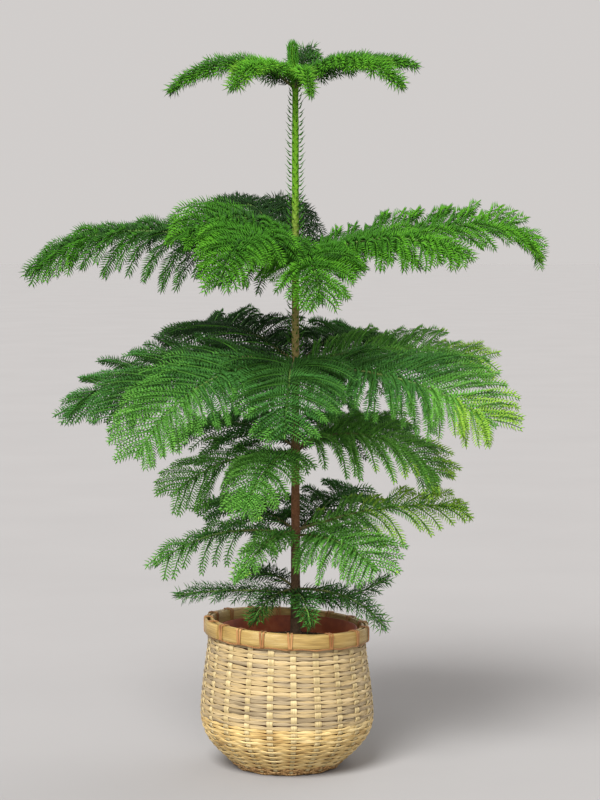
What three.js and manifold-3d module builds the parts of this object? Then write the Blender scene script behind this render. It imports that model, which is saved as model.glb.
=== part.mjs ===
// A young tiered conifer, potted: a straight stem with six whorls of drooping, feathery boughs, rooted in
// a nursery pot of soil that stands inside a woven bamboo basket.
// Millimetres, +Z up. The origin is the centre of the basket's flat underside, and -Y is the front.

import * as THREE from "three";
import { mergeVertices } from "three/addons/utils/BufferGeometryUtils.js";
import Module from "manifold-3d";

const wasm = await Module();
wasm.setup();

// Gaps between neighbouring solids
const SEAT_GAP = 0.3;
const SPRAY_GAP = 0.6;

// Smallest detail kept where solids are fused, and how near two corners merge
const FUSED_DETAIL = 0.05;
const WELD = 1e-3;

// Basket: outline of the woven wall as radius and height, then the split-bamboo rim above it
const BASKET_OUTLINE = [
  [64, 0], [78, 14], [91, 26.5], [103, 43], [108.5, 66], [105.7, 103], [100, 146], [99, 161.7],
];
const BASKET_BENDS = 10;
const BASKET_WALL = 4;
const BASKET_FLOOR = 5;
const BASKET_LINING_FROM = 10;
const BASKET_SIDES = 24;
const RIM_OUTER = 101.5;
const RIM_INNER = 93;
const RIM_BOTTOM = 162;
const RIM_TOP = 182;
const RIM_CHAMFER = 2.5;
const RIM_TILT = 0.055;

// Nursery pot and soil inside the basket
const POT_FOOT_RADIUS = 61;
const POT_LIP_RADIUS = 88;
const POT_TOP = 174;
const POT_WALL = 2;
const POT_SIDES = 24;
const SOIL_TOP = 159.7;
const SOIL_EDGE_DROP = 4;
const SOIL_FLAT_RADIUS = 24;

// Stem: it stands a little right of the basket's centre, and only its leader leans.
// Its outline is a list of heights, each with the radius there.
const TRUNK_X = 10.6;
const TRUNK_OUTLINE = [
  [160, 9], [164, 7.2], [174, 6.1], [330, 5.2], [555, 4.3], [774, 4], [850, 3.4], [885, 2.2],
];
const TRUNK_TIP = 900;
const TRUNK_SIDES = 10;
const LEADER_BASE = 842;
const LEADER_LEAN = 4.5;

// Needles that clothe the upper stem, set in a spiral
const NEEDLE_FIRST = 520;
const NEEDLE_LAST = 893;
const NEEDLE_PITCH = 6.6;
const NEEDLE_LENGTH = 11;
const NEEDLE_HALF_WIDTH = 1.3;
const NEEDLE_ROOT = 0.3;
const NEEDLE_RISE = 40;
const NEEDLE_RISE_AT_TIP = 75;
const GOLDEN_ANGLE = 137.5;

// Boughs: a bough's slope bends from rise to droop (degrees) along its length
const BOUGH_STEPS = 6;
const BOUGH_TIP_RADIUS = 0.9;
const BOUGH_BASE_RADIUS = 1.1;
const BOUGH_RADIUS_PER_LENGTH = 0.0036;
const WHORL_STAGGER = 3;
const BARE_LIMB_FROM = 230;
const BARE_LIMB_SHARE = 0.2;
const LIMB_SIDES = 6;
const STEM_SIDES = 3;
const LEAST_STEP = 0.01;

// Sprays: toothed blades in two rows along a bough, shorter beside the stem and dwindling to the bough's tip.
// They turn their upper side to the light at the front: near sprays dip and far ones rise.
const SPRAY_PITCH_BASE = 27;
const SPRAY_PITCH_PER_LENGTH = 0.3;
const SPRAY_START = 16;
const PAIR_OFFSET = 0.25;
const PAIR_SCATTER = 0.2;
const PAIR_STAGGER = 0.15;
const LAST_PAIR = 0.8;
const SPRAY_BESIDE_STEM = 0.45;
const SPRAY_GROWTH = 1.6;
const SPRAY_DWINDLE = 0.78;
const SPRAY_NEEDLES = 8;
const SPRAY_SCATTER = 0.08;
const TIP_SPRAY = 0.9;
const TIP_SPRAY_SEAT = 2;
const TIP_SPRAY_WIDTH = 0.5;
const TIP_SPRAY_HANG = 0.2;
const SPRAY_ANGLE_BASE = 66;
const SPRAY_ANGLE_TIP = 44;
const SPRAY_WIDTH_PER_LENGTH = 0.26;
const SPRAY_LIFT = 0.2;
const SPRAY_FACING = 0.5;
const SPRAY_SAG = 1.2;
const SPRAY_RIDGE = 2.4;
const SPRAY_SIZES = [1, 0.72, 0.5];
const LONG_SPRAY = 40;
const SEED = 20;

// Each whorl: height on the stem, length of its middle sprays, and how far they hang (0 flat, 1 down).
// Each bough: heading (0 right, 90 back, 180 left, -90 front), length, rise, droop, how late it bends.
const WHORLS = [
  {
    name: "top", height: 842, spray: 28, hang: 0.5,
    boughs: [
      [176, 173, 46, -48, 1], [72, 70, 46, 38, 1], [13, 164, 54, -14, 0.6], [-30, 166, 42, -48, 1],
      [-82, 150, 34, -46, 1], [-124, 145, 38, -48, 1],
    ],
  },
  {
    name: "second", height: 627, spray: 86, hang: 0.65,
    boughs: [
      [178, 350, 17, -52, 2.5], [117, 250, 40, -10, 1.2], [98, 190, 42, 8, 1.2], [2, 324, 13, -76, 5.5],
      [-34, 250, 22, -26, 1.5], [-80, 195, 16, -52, 1.2], [-114, 245, 40, -50, 1],
      [-146, 190, 60, -42, 1],
    ],
  },
  {
    name: "third", height: 500, spray: 94, hang: 0.45,
    boughs: [
      [176, 306, 13, -42, 1.2], [124, 270, 24, -16, 1.2], [62, 240, 26, -22, 1.2],
      [8, 248, 12, -18, 1.5], [-32, 290, 2, -33, 1.5], [-93, 248, 6, -46, 1.2],
      [-131, 308, 8, -52, 1.3], [-157, 268, 12, -50, 1.3],
    ],
  },
  {
    name: "fourth", height: 396, spray: 80, hang: 0.45,
    boughs: [
      [190, 168, 3, -44, 1.2], [136, 198, 22, -20, 1.2], [48, 204, 22, -12, 1.2],
      [-10, 200, 29, -53, 1], [-110, 194, 4, -46, 1.2],
    ],
  },
  {
    name: "fifth", height: 292, spray: 70, hang: 0.45,
    boughs: [
      [-168, 187, 14, -40, 1.2], [128, 184, 20, -12, 1.2], [62, 180, 24, 0, 1.2],
      [3, 218, 18, -10, 1.5], [-52, 164, 8, -30, 1.2], [-114, 180, 4, -34, 1.2],
    ],
  },
  {
    name: "lowest", height: 219, spray: 26, hang: 0.35,
    boughs: [
      [182, 150, 7, -8, 1], [130, 112, 26, -22, 1], [16, 128, -20, 36, 1], [-18, 132, 2, -56, 1.5],
      [-80, 112, 12, -42, 1.2], [-130, 92, 4, -52, 1.2],
    ],
  },
];

// Finishes
const FINISHES = {
  bark: { color: 0x6b5236, roughness: 0.85 },
  foliage: { color: 0x3f7d2c, roughness: 0.6 },
  weave: { color: 0xc9b183, roughness: 0.6 },
  rim: { color: 0xd0a45c, roughness: 0.45 },
  pot: { color: 0x8a4a34, roughness: 0.7 },
  soil: { color: 0x2e231b, roughness: 0.95 },
};
const materials = {};
for (const [finish, look] of Object.entries(FINISHES)) {
  materials[finish] = new THREE.MeshStandardMaterial({ ...look, metalness: 0 });
}

const UP = new THREE.Vector3(0, 0, 1);
const radians = THREE.MathUtils.degToRad;
const lerp = THREE.MathUtils.lerp;

// Seeded random numbers from 0 to 1
let randomState = SEED;
function random() {
  randomState = (randomState + 0x6d2b79f5) | 0;
  let mixed = Math.imul(randomState ^ (randomState >>> 15), 1 | randomState);
  mixed = (mixed + Math.imul(mixed ^ (mixed >>> 7), 61 | mixed)) ^ mixed;
  return ((mixed ^ (mixed >>> 14)) >>> 0) / 4294967296;
}

function jitter(share) {
  return 1 + share * (2 * random() - 1);
}

// Value at a place in a short list of [place, value] pairs
function interpolate(pairs, place) {
  let [from, to] = pairs;
  for (let i = 1; i < pairs.length; i += 1) {
    [from, to] = [pairs[i - 1], pairs[i]];
    if (place <= to[0]) break;
  }
  return lerp(from[1], to[1], (place - from[0]) / (to[0] - from[0]));
}

// Closed geometries and solids

// Only positions, with shared corners merged and flat slivers dropped
function weld(geometry) {
  geometry.deleteAttribute("normal");
  geometry.deleteAttribute("uv");
  const welded = mergeVertices(geometry, WELD);
  const corners = welded.index.array;
  const kept = [];
  for (let i = 0; i < corners.length; i += 3) {
    const [a, b, c] = corners.slice(i, i + 3);
    if (a !== b && b !== c && c !== a) kept.push(a, b, c);
  }
  welded.setIndex(kept);
  return welded;
}

// A closed skin through rings of corners, ordered anticlockwise about the way they run. All rings have the
// same number of corners, and the first or the last may be a single point.
function loft(rings) {
  const points = rings.flat();
  const faces = [];
  let start = 0;
  for (let ring = 0; ring + 1 < rings.length; ring += 1) {
    const here = rings[ring].length;
    const there = rings[ring + 1].length;
    const corners = Math.max(here, there);
    for (let i = 0; i < corners; i += 1) {
      const next = (i + 1) % corners;
      const [a, b] = [start + (i % here), start + (next % here)];
      const [c, d] = [start + here + (next % there), start + here + (i % there)];
      if (a !== b) faces.push(a, b, c);
      if (c !== d) faces.push(a, c, d);
    }
    start += here;
  }
  for (let i = 1; i + 1 < rings[0].length; i += 1) faces.push(0, i + 1, i);
  for (let i = 1; i + 1 < rings.at(-1).length; i += 1) faces.push(start, start + i, start + i + 1);
  const geometry = new THREE.BufferGeometry().setFromPoints(points);
  geometry.setIndex(faces);
  return geometry;
}

function solidOf(geometry) {
  const welded = weld(geometry);
  const mesh = new wasm.Mesh({
    numProp: 3,
    vertProperties: new Float32Array(welded.attributes.position.array),
    triVerts: new Uint32Array(welded.index.array),
  });
  return new wasm.Manifold(mesh);
}

function geometryOf(solid) {
  const mesh = solid.getMesh();
  const geometry = new THREE.BufferGeometry();
  geometry.setAttribute("position", new THREE.BufferAttribute(mesh.vertProperties, 3));
  geometry.setIndex(new THREE.BufferAttribute(mesh.triVerts, 1));
  return geometry;
}

// The main body of a solid: loose scraps and the skins of sealed hollows are dropped
function mainBody(solid) {
  return solid.decompose().reduce((best, body) => (body.volume() > best.volume() ? body : best));
}

// Solids joined into one closed body, tested again once its nearest corners are merged
function fuse(solids) {
  const joined = mainBody(wasm.Manifold.union(solids).simplify(FUSED_DETAIL));
  return mainBody(solidOf(geometryOf(joined)));
}

// Pieces turned on the upright axis through the origin, from a profile of [radius, height] pairs
function turned(profile, sides) {
  const points = profile.map(([radius, height]) => new THREE.Vector2(radius, height));
  return new THREE.LatheGeometry(points, sides).rotateX(Math.PI / 2);
}

// The hand-made basket stands taller on its left side
function tilted(geometry) {
  const position = geometry.attributes.position;
  for (let i = 0; i < position.count; i += 1) {
    const height = position.getZ(i);
    position.setZ(i, height - (RIM_TILT * position.getX(i) * height) / RIM_TOP);
  }
  return geometry;
}

function basketWall() {
  const corners = BASKET_OUTLINE.map(([radius, height]) => new THREE.Vector2(radius, height));
  const outside = new THREE.SplineCurve(corners).getPoints(BASKET_BENDS).map(({ x, y }) => [x, y]);
  const inside = outside.filter(([, height]) => height > BASKET_LINING_FROM).reverse();
  const lining = inside.map(([radius, height]) => [radius - BASKET_WALL, height]);
  const radiusAt = outside.map(([radius, height]) => [height, radius]);
  const floor = [[interpolate(radiusAt, BASKET_FLOOR) - BASKET_WALL, BASKET_FLOOR], [0, BASKET_FLOOR]];
  return tilted(turned([[0, 0], ...outside, ...lining, ...floor], BASKET_SIDES));
}

function basketRim() {
  const profile = [
    [RIM_INNER, RIM_BOTTOM],
    [RIM_OUTER, RIM_BOTTOM],
    [RIM_OUTER, RIM_TOP - RIM_CHAMFER],
    [RIM_OUTER - RIM_CHAMFER, RIM_TOP],
    [RIM_INNER + RIM_CHAMFER, RIM_TOP],
    [RIM_INNER, RIM_TOP - RIM_CHAMFER],
    [RIM_INNER, RIM_BOTTOM],
  ];
  return tilted(turned(profile, BASKET_SIDES));
}

const POT_BOTTOM = BASKET_FLOOR + SEAT_GAP;

function potRadius(height) {
  return lerp(POT_FOOT_RADIUS, POT_LIP_RADIUS, (height - POT_BOTTOM) / (POT_TOP - POT_BOTTOM));
}

function innerPot() {
  const floor = POT_BOTTOM + POT_WALL;
  return turned([
    [0, POT_BOTTOM],
    [POT_FOOT_RADIUS, POT_BOTTOM],
    [POT_LIP_RADIUS, POT_TOP],
    [POT_LIP_RADIUS - POT_WALL, POT_TOP],
    [potRadius(floor) - POT_WALL, floor],
    [0, floor],
  ], POT_SIDES);
}

function soilFill() {
  const inset = POT_WALL + 2 * SEAT_GAP;
  const bottom = POT_BOTTOM + POT_WALL + SEAT_GAP;
  const edge = SOIL_TOP - SOIL_EDGE_DROP;
  return turned([
    [0, bottom],
    [potRadius(bottom) - inset, bottom],
    [potRadius(edge) - inset, edge],
    [SOIL_FLAT_RADIUS, SOIL_TOP],
    [0, SOIL_TOP],
  ], POT_SIDES);
}

// Stem

// Share of the way up the leader, none below it
function leaderShare(height) {
  return Math.max(0, (height - LEADER_BASE) / (TRUNK_TIP - LEADER_BASE));
}

function trunkAxis(height) {
  return new THREE.Vector3(TRUNK_X - LEADER_LEAN * leaderShare(height), 0, height);
}

function trunkSolid(grow) {
  const rings = TRUNK_OUTLINE.map(([height, radius]) => {
    const centre = trunkAxis(height);
    return Array.from({ length: TRUNK_SIDES }, (_, i) => {
      const angle = (i / TRUNK_SIDES) * 2 * Math.PI;
      const reach = radius + grow;
      return new THREE.Vector3(reach * Math.cos(angle), reach * Math.sin(angle), 0).add(centre);
    });
  });
  rings.push([trunkAxis(TRUNK_TIP + grow)]);
  return solidOf(loft(rings));
}

// A slim three-sided needle, rooted inside the stem and pointing out and up
function trunkNeedle(height, heading) {
  const rise = radians(lerp(NEEDLE_RISE, NEEDLE_RISE_AT_TIP, leaderShare(height)));
  const outward = new THREE.Vector3(Math.cos(heading), Math.sin(heading), 0);
  const along = outward.clone().multiplyScalar(Math.cos(rise)).addScaledVector(UP, Math.sin(rise));
  const across = UP.clone().cross(outward);
  const over = along.clone().cross(across);
  const radius = interpolate(TRUNK_OUTLINE, Math.min(height, TRUNK_OUTLINE.at(-1)[0]));
  const root = trunkAxis(height).addScaledVector(outward, radius * NEEDLE_ROOT);
  const corner = (side, lift) => root.clone().addScaledVector(across, side).addScaledVector(over, lift);
  const ring = [corner(NEEDLE_HALF_WIDTH, 0), corner(0, NEEDLE_HALF_WIDTH), corner(-NEEDLE_HALF_WIDTH, 0)];
  const tip = root.clone().addScaledVector(along, NEEDLE_LENGTH + radius * (1 - NEEDLE_ROOT));
  return solidOf(loft([ring, [tip]]));
}

// Boughs

// The way a bough runs at a share of its length
function boughWay([heading, , rise, droop, bend], share) {
  const slope = radians(lerp(rise, droop, share ** bend));
  const outward = new THREE.Vector3(Math.cos(radians(heading)), Math.sin(radians(heading)), 0);
  return outward.multiplyScalar(Math.cos(slope)).addScaledVector(UP, Math.sin(slope));
}

// Bends of a bough's centre line, each with the way it runs, its right-hand side and its thickness
function boughLine(whorl, index) {
  const bough = whorl.boughs[index];
  const length = bough[1];
  const point = trunkAxis(whorl.height + (index % 2 ? WHORL_STAGGER : -WHORL_STAGGER));
  const line = [];
  for (let step = 0; step <= BOUGH_STEPS; step += 1) {
    const share = step / BOUGH_STEPS;
    const way = boughWay(bough, share);
    const radius = lerp(BOUGH_BASE_RADIUS + BOUGH_RADIUS_PER_LENGTH * length, BOUGH_TIP_RADIUS, share);
    line.push({ share, point: point.clone(), way, side: way.clone().cross(UP).normalize(), radius });
    point.addScaledVector(boughWay(bough, share + 0.5 / BOUGH_STEPS), length / BOUGH_STEPS);
  }
  return line;
}

// The place at a share of a bough's length
function placeOn(line, share) {
  const position = share * BOUGH_STEPS;
  const before = Math.min(Math.floor(position), BOUGH_STEPS - 1);
  const [from, to] = [line[before], line[before + 1]];
  const mix = position - before;
  return {
    share,
    point: from.point.clone().lerp(to.point, mix),
    way: from.way.clone().lerp(to.way, mix).normalize(),
    side: from.side.clone().lerp(to.side, mix).normalize(),
    radius: lerp(from.radius, to.radius, mix),
  };
}

// A tapering limb along part of a bough's centre line, with a ring at both ends and at each bend between
function limbAlong(line, from, to, sides) {
  const shares = line.map(({ share }) => share);
  const bends = shares.filter((share) => share > from + LEAST_STEP && share < to - LEAST_STEP);
  const rings = [from, ...bends, to].map((share) => {
    const place = placeOn(line, share);
    const over = place.side.clone().cross(place.way);
    return Array.from({ length: sides }, (_, i) => {
      const angle = (i / sides) * 2 * Math.PI + Math.PI / 2;
      return place.point.clone()
        .addScaledVector(place.side, -place.radius * Math.cos(angle))
        .addScaledVector(over, place.radius * Math.sin(angle));
    });
  });
  return solidOf(loft(rings));
}

// Sprays

// Outlines of a blade as [share of its length, share of its half width, share of its midrib's height]
const ONE_PAIR_OF_TEETH = [
  [0, 0.07, 0.35], [0.5, 1, 1], [0.58, 0.34, 0.8], [1, 0, 0],
];
const TWO_PAIRS_OF_TEETH = [
  [0, 0.05, 0.35], [0.4, 1, 1], [0.48, 0.32, 0.9], [0.72, 0.62, 0.6], [1, 0, 0],
];

// A blade with teeth along both edges and a raised midrib, which leaves its root along way and then sags
function toothedBlade(root, way, across, length, halfWidth, hang) {
  const outline = length > LONG_SPRAY ? TWO_PAIRS_OF_TEETH : ONE_PAIR_OF_TEETH;
  const point = root.clone();
  let reached = 0;
  const rings = outline.map(([share, width, ridge]) => {
    const sag = hang * ((share + reached) / 2) ** SPRAY_SAG;
    const run = way.clone().multiplyScalar(1 - sag).addScaledVector(UP, -sag).normalize();
    point.addScaledVector(run, (share - reached) * length);
    reached = share;
    const edge = across.clone().addScaledVector(run, -across.dot(run)).normalize();
    const over = run.clone().cross(edge);
    if (width === 0) return [point.clone()];
    return [
      point.clone().addScaledVector(edge, width * halfWidth),
      point.clone().addScaledVector(over, ridge * SPRAY_RIDGE),
      point.clone().addScaledVector(edge, -width * halfWidth),
    ];
  });
  return solidOf(loft(rings));
}

function sprayLength(whorl, share) {
  const growth = Math.min(1, SPRAY_BESIDE_STEM + SPRAY_GROWTH * share);
  return whorl.spray * growth * (1 - SPRAY_DWINDLE * share ** 4) + SPRAY_NEEDLES;
}

// Where the sprays of a bough sit: pairs along it, then one that carries its tip on
function sprayPlaces(whorl, length, firstShare) {
  const pitch = SPRAY_PITCH_BASE + SPRAY_PITCH_PER_LENGTH * whorl.spray;
  const pairs = Math.max(2, Math.round(((1 - firstShare) * length) / pitch));
  const places = [{ share: TIP_SPRAY, hand: 0 }];
  for (let pair = 0; pair < pairs; pair += 1) {
    for (const hand of [-1, 1]) {
      const step = pair + PAIR_OFFSET + PAIR_SCATTER * random() + PAIR_STAGGER * hand;
      places.push({ share: lerp(firstShare, LAST_PAIR, step / (pairs - 2 * PAIR_OFFSET)), hand });
    }
  }
  return places;
}

function spray(whorl, line, { share, hand }, size) {
  const place = placeOn(line, share);
  const length = size * sprayLength(whorl, share);
  const halfWidth = SPRAY_WIDTH_PER_LENGTH * length;
  if (hand === 0) {
    const left = place.side.clone().negate();
    const slim = halfWidth * TIP_SPRAY_WIDTH;
    return toothedBlade(place.point, place.way, left, length, slim, TIP_SPRAY_HANG);
  }
  const angle = radians(lerp(SPRAY_ANGLE_BASE, SPRAY_ANGLE_TIP, share));
  const over = place.side.clone().cross(place.way);
  const lift = SPRAY_LIFT + SPRAY_FACING * hand * place.side.y;
  const way = place.way.clone().multiplyScalar(Math.cos(angle));
  way.addScaledVector(place.side, hand * Math.sin(angle)).addScaledVector(over, lift).normalize();
  const across = place.way.clone().multiplyScalar(hand);
  return toothedBlade(place.point, way, across, length, halfWidth, whorl.hang);
}

// Pieces in place, each with the solids that will be fused into it

const pieces = [];

function addSolid(piece, solid) {
  piece.solids.push({ solid, box: solid.boundingBox() });
}

function addPiece(name, finish, solid) {
  const piece = { name, finish, solids: [] };
  pieces.push(piece);
  addSolid(piece, solid);
  return piece;
}

function boxesMeet(a, b) {
  return [0, 1, 2].every((axis) => {
    const gap = Math.max(a.min[axis] - b.max[axis], b.min[axis] - a.max[axis]);
    return gap < SPRAY_GAP;
  });
}

// True where a solid keeps its gap to all but the stem that carries it, the first solid of its own piece
function isClear(solid, owner) {
  const box = solid.boundingBox();
  const others = pieces.flatMap((piece) => (piece === owner ? piece.solids.slice(1) : piece.solids));
  const near = others.filter((other) => boxesMeet(box, other.box));
  return near.every((other) => solid.minGap(other.solid, SPRAY_GAP) >= SPRAY_GAP);
}

addPiece("basket_wall", "weave", solidOf(basketWall()));
addPiece("basket_rim", "rim", solidOf(basketRim()));
addPiece("inner_pot", "pot", solidOf(innerPot()));
addPiece("soil", "soil", solidOf(soilFill()));
const trunk = addPiece("trunk", "bark", trunkSolid(0));

// Limbs and stems of all the boughs first, cut clear of the trunk
const roomForTrunk = trunkSolid(SEAT_GAP);
const crowns = [];
for (const whorl of WHORLS) {
  whorl.boughs.forEach((bough, index) => {
    const length = bough[1];
    const line = boughLine(whorl, index);
    const name = `${whorl.name}_${index + 1}`;
    const stemTo = TIP_SPRAY + TIP_SPRAY_SEAT / length;
    let stem = null;
    let firstShare = SPRAY_START / length;
    if (length >= BARE_LIMB_FROM) {
      const limb = limbAlong(line, 0, BARE_LIMB_SHARE, LIMB_SIDES);
      addPiece(`bough_${name}`, "bark", mainBody(limb.subtract(roomForTrunk)));
      stem = limbAlong(line, BARE_LIMB_SHARE + SEAT_GAP / length, stemTo, STEM_SIDES);
      firstShare = BARE_LIMB_SHARE;
    } else {
      stem = mainBody(limbAlong(line, 0, stemTo, STEM_SIDES).subtract(roomForTrunk));
    }
    const piece = addPiece(`foliage_${name}`, "foliage", stem);
    crowns.push({ whorl, line, piece, places: sprayPlaces(whorl, length, firstShare) });
  });
}

// Needles on the stem
const needles = Math.floor((NEEDLE_LAST - NEEDLE_FIRST) / NEEDLE_PITCH);
for (let i = 0; i <= needles; i += 1) {
  const needle = trunkNeedle(NEEDLE_FIRST + i * NEEDLE_PITCH, radians(i * GOLDEN_ANGLE));
  if (isClear(needle, trunk)) addSolid(trunk, needle);
}

// Sprays are dealt out bough by bough in turn; one that would touch is tried smaller, then skipped
const rounds = Math.max(...crowns.map(({ places }) => places.length));
for (let round = 0; round < rounds; round += 1) {
  for (const { whorl, line, piece, places } of crowns) {
    if (round >= places.length) continue;
    for (const size of SPRAY_SIZES) {
      const blade = spray(whorl, line, places[round], size * jitter(SPRAY_SCATTER));
      if (isClear(blade, piece)) {
        addSolid(piece, blade);
        break;
      }
    }
  }
}

// The whole plant, one mesh for each piece
const plant = new THREE.Group();
for (const { name, finish, solids } of pieces) {
  const fused = fuse(solids.map(({ solid }) => solid));
  const mesh = new THREE.Mesh(geometryOf(fused), materials[finish]);
  mesh.name = name;
  plant.add(mesh);
}

export default plant;
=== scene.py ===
# %% [markdown]
# # A tiered conifer in a woven bamboo basket
# A young conifer grows in a nursery pot, and the pot stands in a round basket of split bamboo.
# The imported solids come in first, as a frame that stays as it is: each has its real size and place.
# Everything made below dresses that frame in metres, with the origin under the middle of the basket.

import math

import bpy
import numpy as np
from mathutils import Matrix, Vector, noise


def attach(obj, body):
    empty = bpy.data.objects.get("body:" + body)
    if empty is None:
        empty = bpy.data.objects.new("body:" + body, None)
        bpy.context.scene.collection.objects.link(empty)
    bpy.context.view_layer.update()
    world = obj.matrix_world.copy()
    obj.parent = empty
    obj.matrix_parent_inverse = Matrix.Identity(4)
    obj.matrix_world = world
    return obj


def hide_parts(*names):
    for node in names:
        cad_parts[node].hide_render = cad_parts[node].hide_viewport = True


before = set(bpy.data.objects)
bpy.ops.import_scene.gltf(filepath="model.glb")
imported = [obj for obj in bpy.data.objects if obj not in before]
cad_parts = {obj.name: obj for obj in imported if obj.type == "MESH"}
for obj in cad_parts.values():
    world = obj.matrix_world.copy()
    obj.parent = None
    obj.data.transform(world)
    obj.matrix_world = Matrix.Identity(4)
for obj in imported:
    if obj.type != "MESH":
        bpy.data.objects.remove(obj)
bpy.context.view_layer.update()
bpy.ops.object.select_all(action="DESELECT")
print("solids in the frame:", len(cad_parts))

# %% [markdown]
# ## Camera, light and floor
# The picture is taken from three metres away, from just above the second whorl, looking slightly down.
# A long lens gives the basket's rims their flat ellipses. The light is soft and even: a pale world does
# most of the work, and three suns with wide discs add a bright side, a low fill and a light from behind.
# Small lamps are the other way, but their hard shadows would break up the fine needles.

# %% Camera
FRAME_HEIGHT_PX = 800
FOCAL_PX = 2380
CAMERA_PLACE = (0.0163, -2.935, 0.687)
CAMERA_PITCH = math.radians(4.47)

bpy.ops.object.camera_add(location=CAMERA_PLACE, rotation=(math.pi / 2 - CAMERA_PITCH, 0, 0))
camera = bpy.context.object
camera.data.lens = camera.data.sensor_width * FOCAL_PX / FRAME_HEIGHT_PX
bpy.context.scene.camera = camera
print("lens:", round(camera.data.lens, 1), "mm")

# %% Soft light
# Each sun: where it shines from, the width of its disc in degrees and its power.
LIGHTS = {
    "key_sun": ((-0.7, -1.85, 1.9), 28, 5.0),
    "fill_sun": ((-0.3, -2.0, 0.3), 80, 1.2),
    "back_sun": ((1.3, 1.4, 1.5), 60, 1.0),
}
WORLD_COLOUR = (1.0, 0.962, 0.942, 1)
WORLD_STRENGTH = 0.636

for name, (place, disc, power) in LIGHTS.items():
    bpy.ops.object.light_add(type="SUN", location=place)
    light = bpy.context.object
    light.name = name
    light.data.angle = math.radians(disc)
    light.data.energy = power
    light.rotation_euler = (-light.location).to_track_quat("-Z", "Y").to_euler()

world = bpy.data.worlds.new("studio")
world.use_nodes = True
background = world.node_tree.nodes["Background"]
background.inputs["Color"].default_value = WORLD_COLOUR
background.inputs["Strength"].default_value = WORLD_STRENGTH
bpy.context.scene.world = world
bpy.context.scene.view_settings.view_transform = "Standard"
print("lights:", ", ".join(LIGHTS))

# %% [markdown]
# ## Helpers for materials
# A material is a small graph of nodes. These helpers add a node with its settings, join sockets, and
# spread a value over a ramp of colours. Two effects return on several finishes, so each is a node group
# with its own inputs: streaks that run along a strip of bamboo, and a mottle that breaks up an even
# colour. Both are noise, which has no seams and needs no picture.

# %% Node helpers
def add_node(tree, kind, inputs=None, **settings):
    """Adds a node to a tree, with values for its inputs and its other settings."""
    node = tree.nodes.new(kind)
    for name, value in settings.items():
        setattr(node, name, value)
    for name, value in (inputs or {}).items():
        node.inputs[name].default_value = value
    return node


def colour_ramp(tree, factor, stops):
    """Spreads a value over colours, each at its own place from 0 to 1."""
    ramp = add_node(tree, "ShaderNodeValToRGB")
    elements = ramp.color_ramp.elements
    while len(elements) < len(stops):
        elements.new(0.5)
    for element, (place, colour) in zip(elements, stops):
        element.position = place
        element.color = (*colour, 1)
    tree.links.new(factor, ramp.inputs["Fac"])
    return ramp.outputs["Color"]


def shade(tree, colour, factor, darkest):
    """Darkens a colour where a value is low, down to a share of itself."""
    level = add_node(tree, "ShaderNodeMapRange", {"To Min": darkest, "To Max": 1.0})
    tree.links.new(factor, level.inputs["Value"])
    mix = add_node(tree, "ShaderNodeMix", {"Factor": 1.0}, data_type="RGBA", blend_type="MULTIPLY")
    tree.links.new(colour, mix.inputs["A"])
    tree.links.new(level.outputs["Result"], mix.inputs["B"])
    return mix.outputs["Result"]


print("node helpers ready")

# %% Streaks and mottle as node groups
NOISE_LOW = 0.32
NOISE_HIGH = 0.68
STREAK_DETAIL = 3.0
MOTTLE_DETAIL = 5.0


def noise_group(name, detail, scales):
    """A group that stretches noise by its scale inputs and puts out a value from 0 to 1."""
    group = bpy.data.node_groups.new(name, "ShaderNodeTree")
    group.interface.new_socket("Vector", in_out="INPUT", socket_type="NodeSocketVector")
    for scale in scales:
        group.interface.new_socket(scale, in_out="INPUT", socket_type="NodeSocketFloat")
    group.interface.new_socket("Value", in_out="OUTPUT", socket_type="NodeSocketFloat")
    entry = add_node(group, "NodeGroupInput")
    stretch = add_node(group, "ShaderNodeCombineXYZ")
    for axis in range(3):
        group.links.new(entry.outputs[scales[min(axis, len(scales) - 1)]], stretch.inputs[axis])
    scaled = add_node(group, "ShaderNodeVectorMath", operation="MULTIPLY")
    group.links.new(entry.outputs["Vector"], scaled.inputs[0])
    group.links.new(stretch.outputs["Vector"], scaled.inputs[1])
    grain = add_node(group, "ShaderNodeTexNoise", {"Scale": 1.0, "Detail": detail})
    group.links.new(scaled.outputs["Vector"], grain.inputs["Vector"])
    level = add_node(group, "ShaderNodeMapRange", {"From Min": NOISE_LOW, "From Max": NOISE_HIGH})
    group.links.new(grain.outputs["Fac"], level.inputs["Value"])
    leave = add_node(group, "NodeGroupOutput")
    group.links.new(level.outputs["Result"], leave.inputs["Value"])
    return group


STREAKS = noise_group("streaks", STREAK_DETAIL, ["Along", "Across"])
MOTTLE = noise_group("mottle", MOTTLE_DETAIL, ["Scale"])


def pattern(tree, group, coordinates, **scales):
    """Places one of the groups in a material, on Object or UV coordinates."""
    place = add_node(tree, "ShaderNodeTexCoord")
    node = add_node(tree, "ShaderNodeGroup", node_tree=group)
    for name, value in scales.items():
        node.inputs[name].default_value = value
    tree.links.new(place.outputs[coordinates], node.inputs["Vector"])
    return node.outputs["Value"]


print("node groups:", STREAKS.name, MOTTLE.name)

# %% Start and finish of a material
def start_material(name, roughness, specular):
    """A new material with one Principled shader, and its node tree."""
    material = bpy.data.materials.new(name)
    material.use_nodes = True
    tree = material.node_tree
    shader = tree.nodes["Principled BSDF"]
    shader.inputs["Roughness"].default_value = roughness
    shader.inputs["Specular IOR Level"].default_value = specular
    return material, tree, shader


def mottled(name, scale, tones, roughness, specular):
    """A material whose colour follows the mottle, with its tree, its shader and the mottle's value."""
    material, tree, shader = start_material(name, roughness, specular)
    value = pattern(tree, MOTTLE, "Object", Scale=scale)
    tree.links.new(colour_ramp(tree, value, tones), shader.inputs["Base Color"])
    return material, tree, shader, value


def toned(colour, share):
    """The same colour, made darker or lighter."""
    return tuple(share * part for part in colour)


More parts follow.
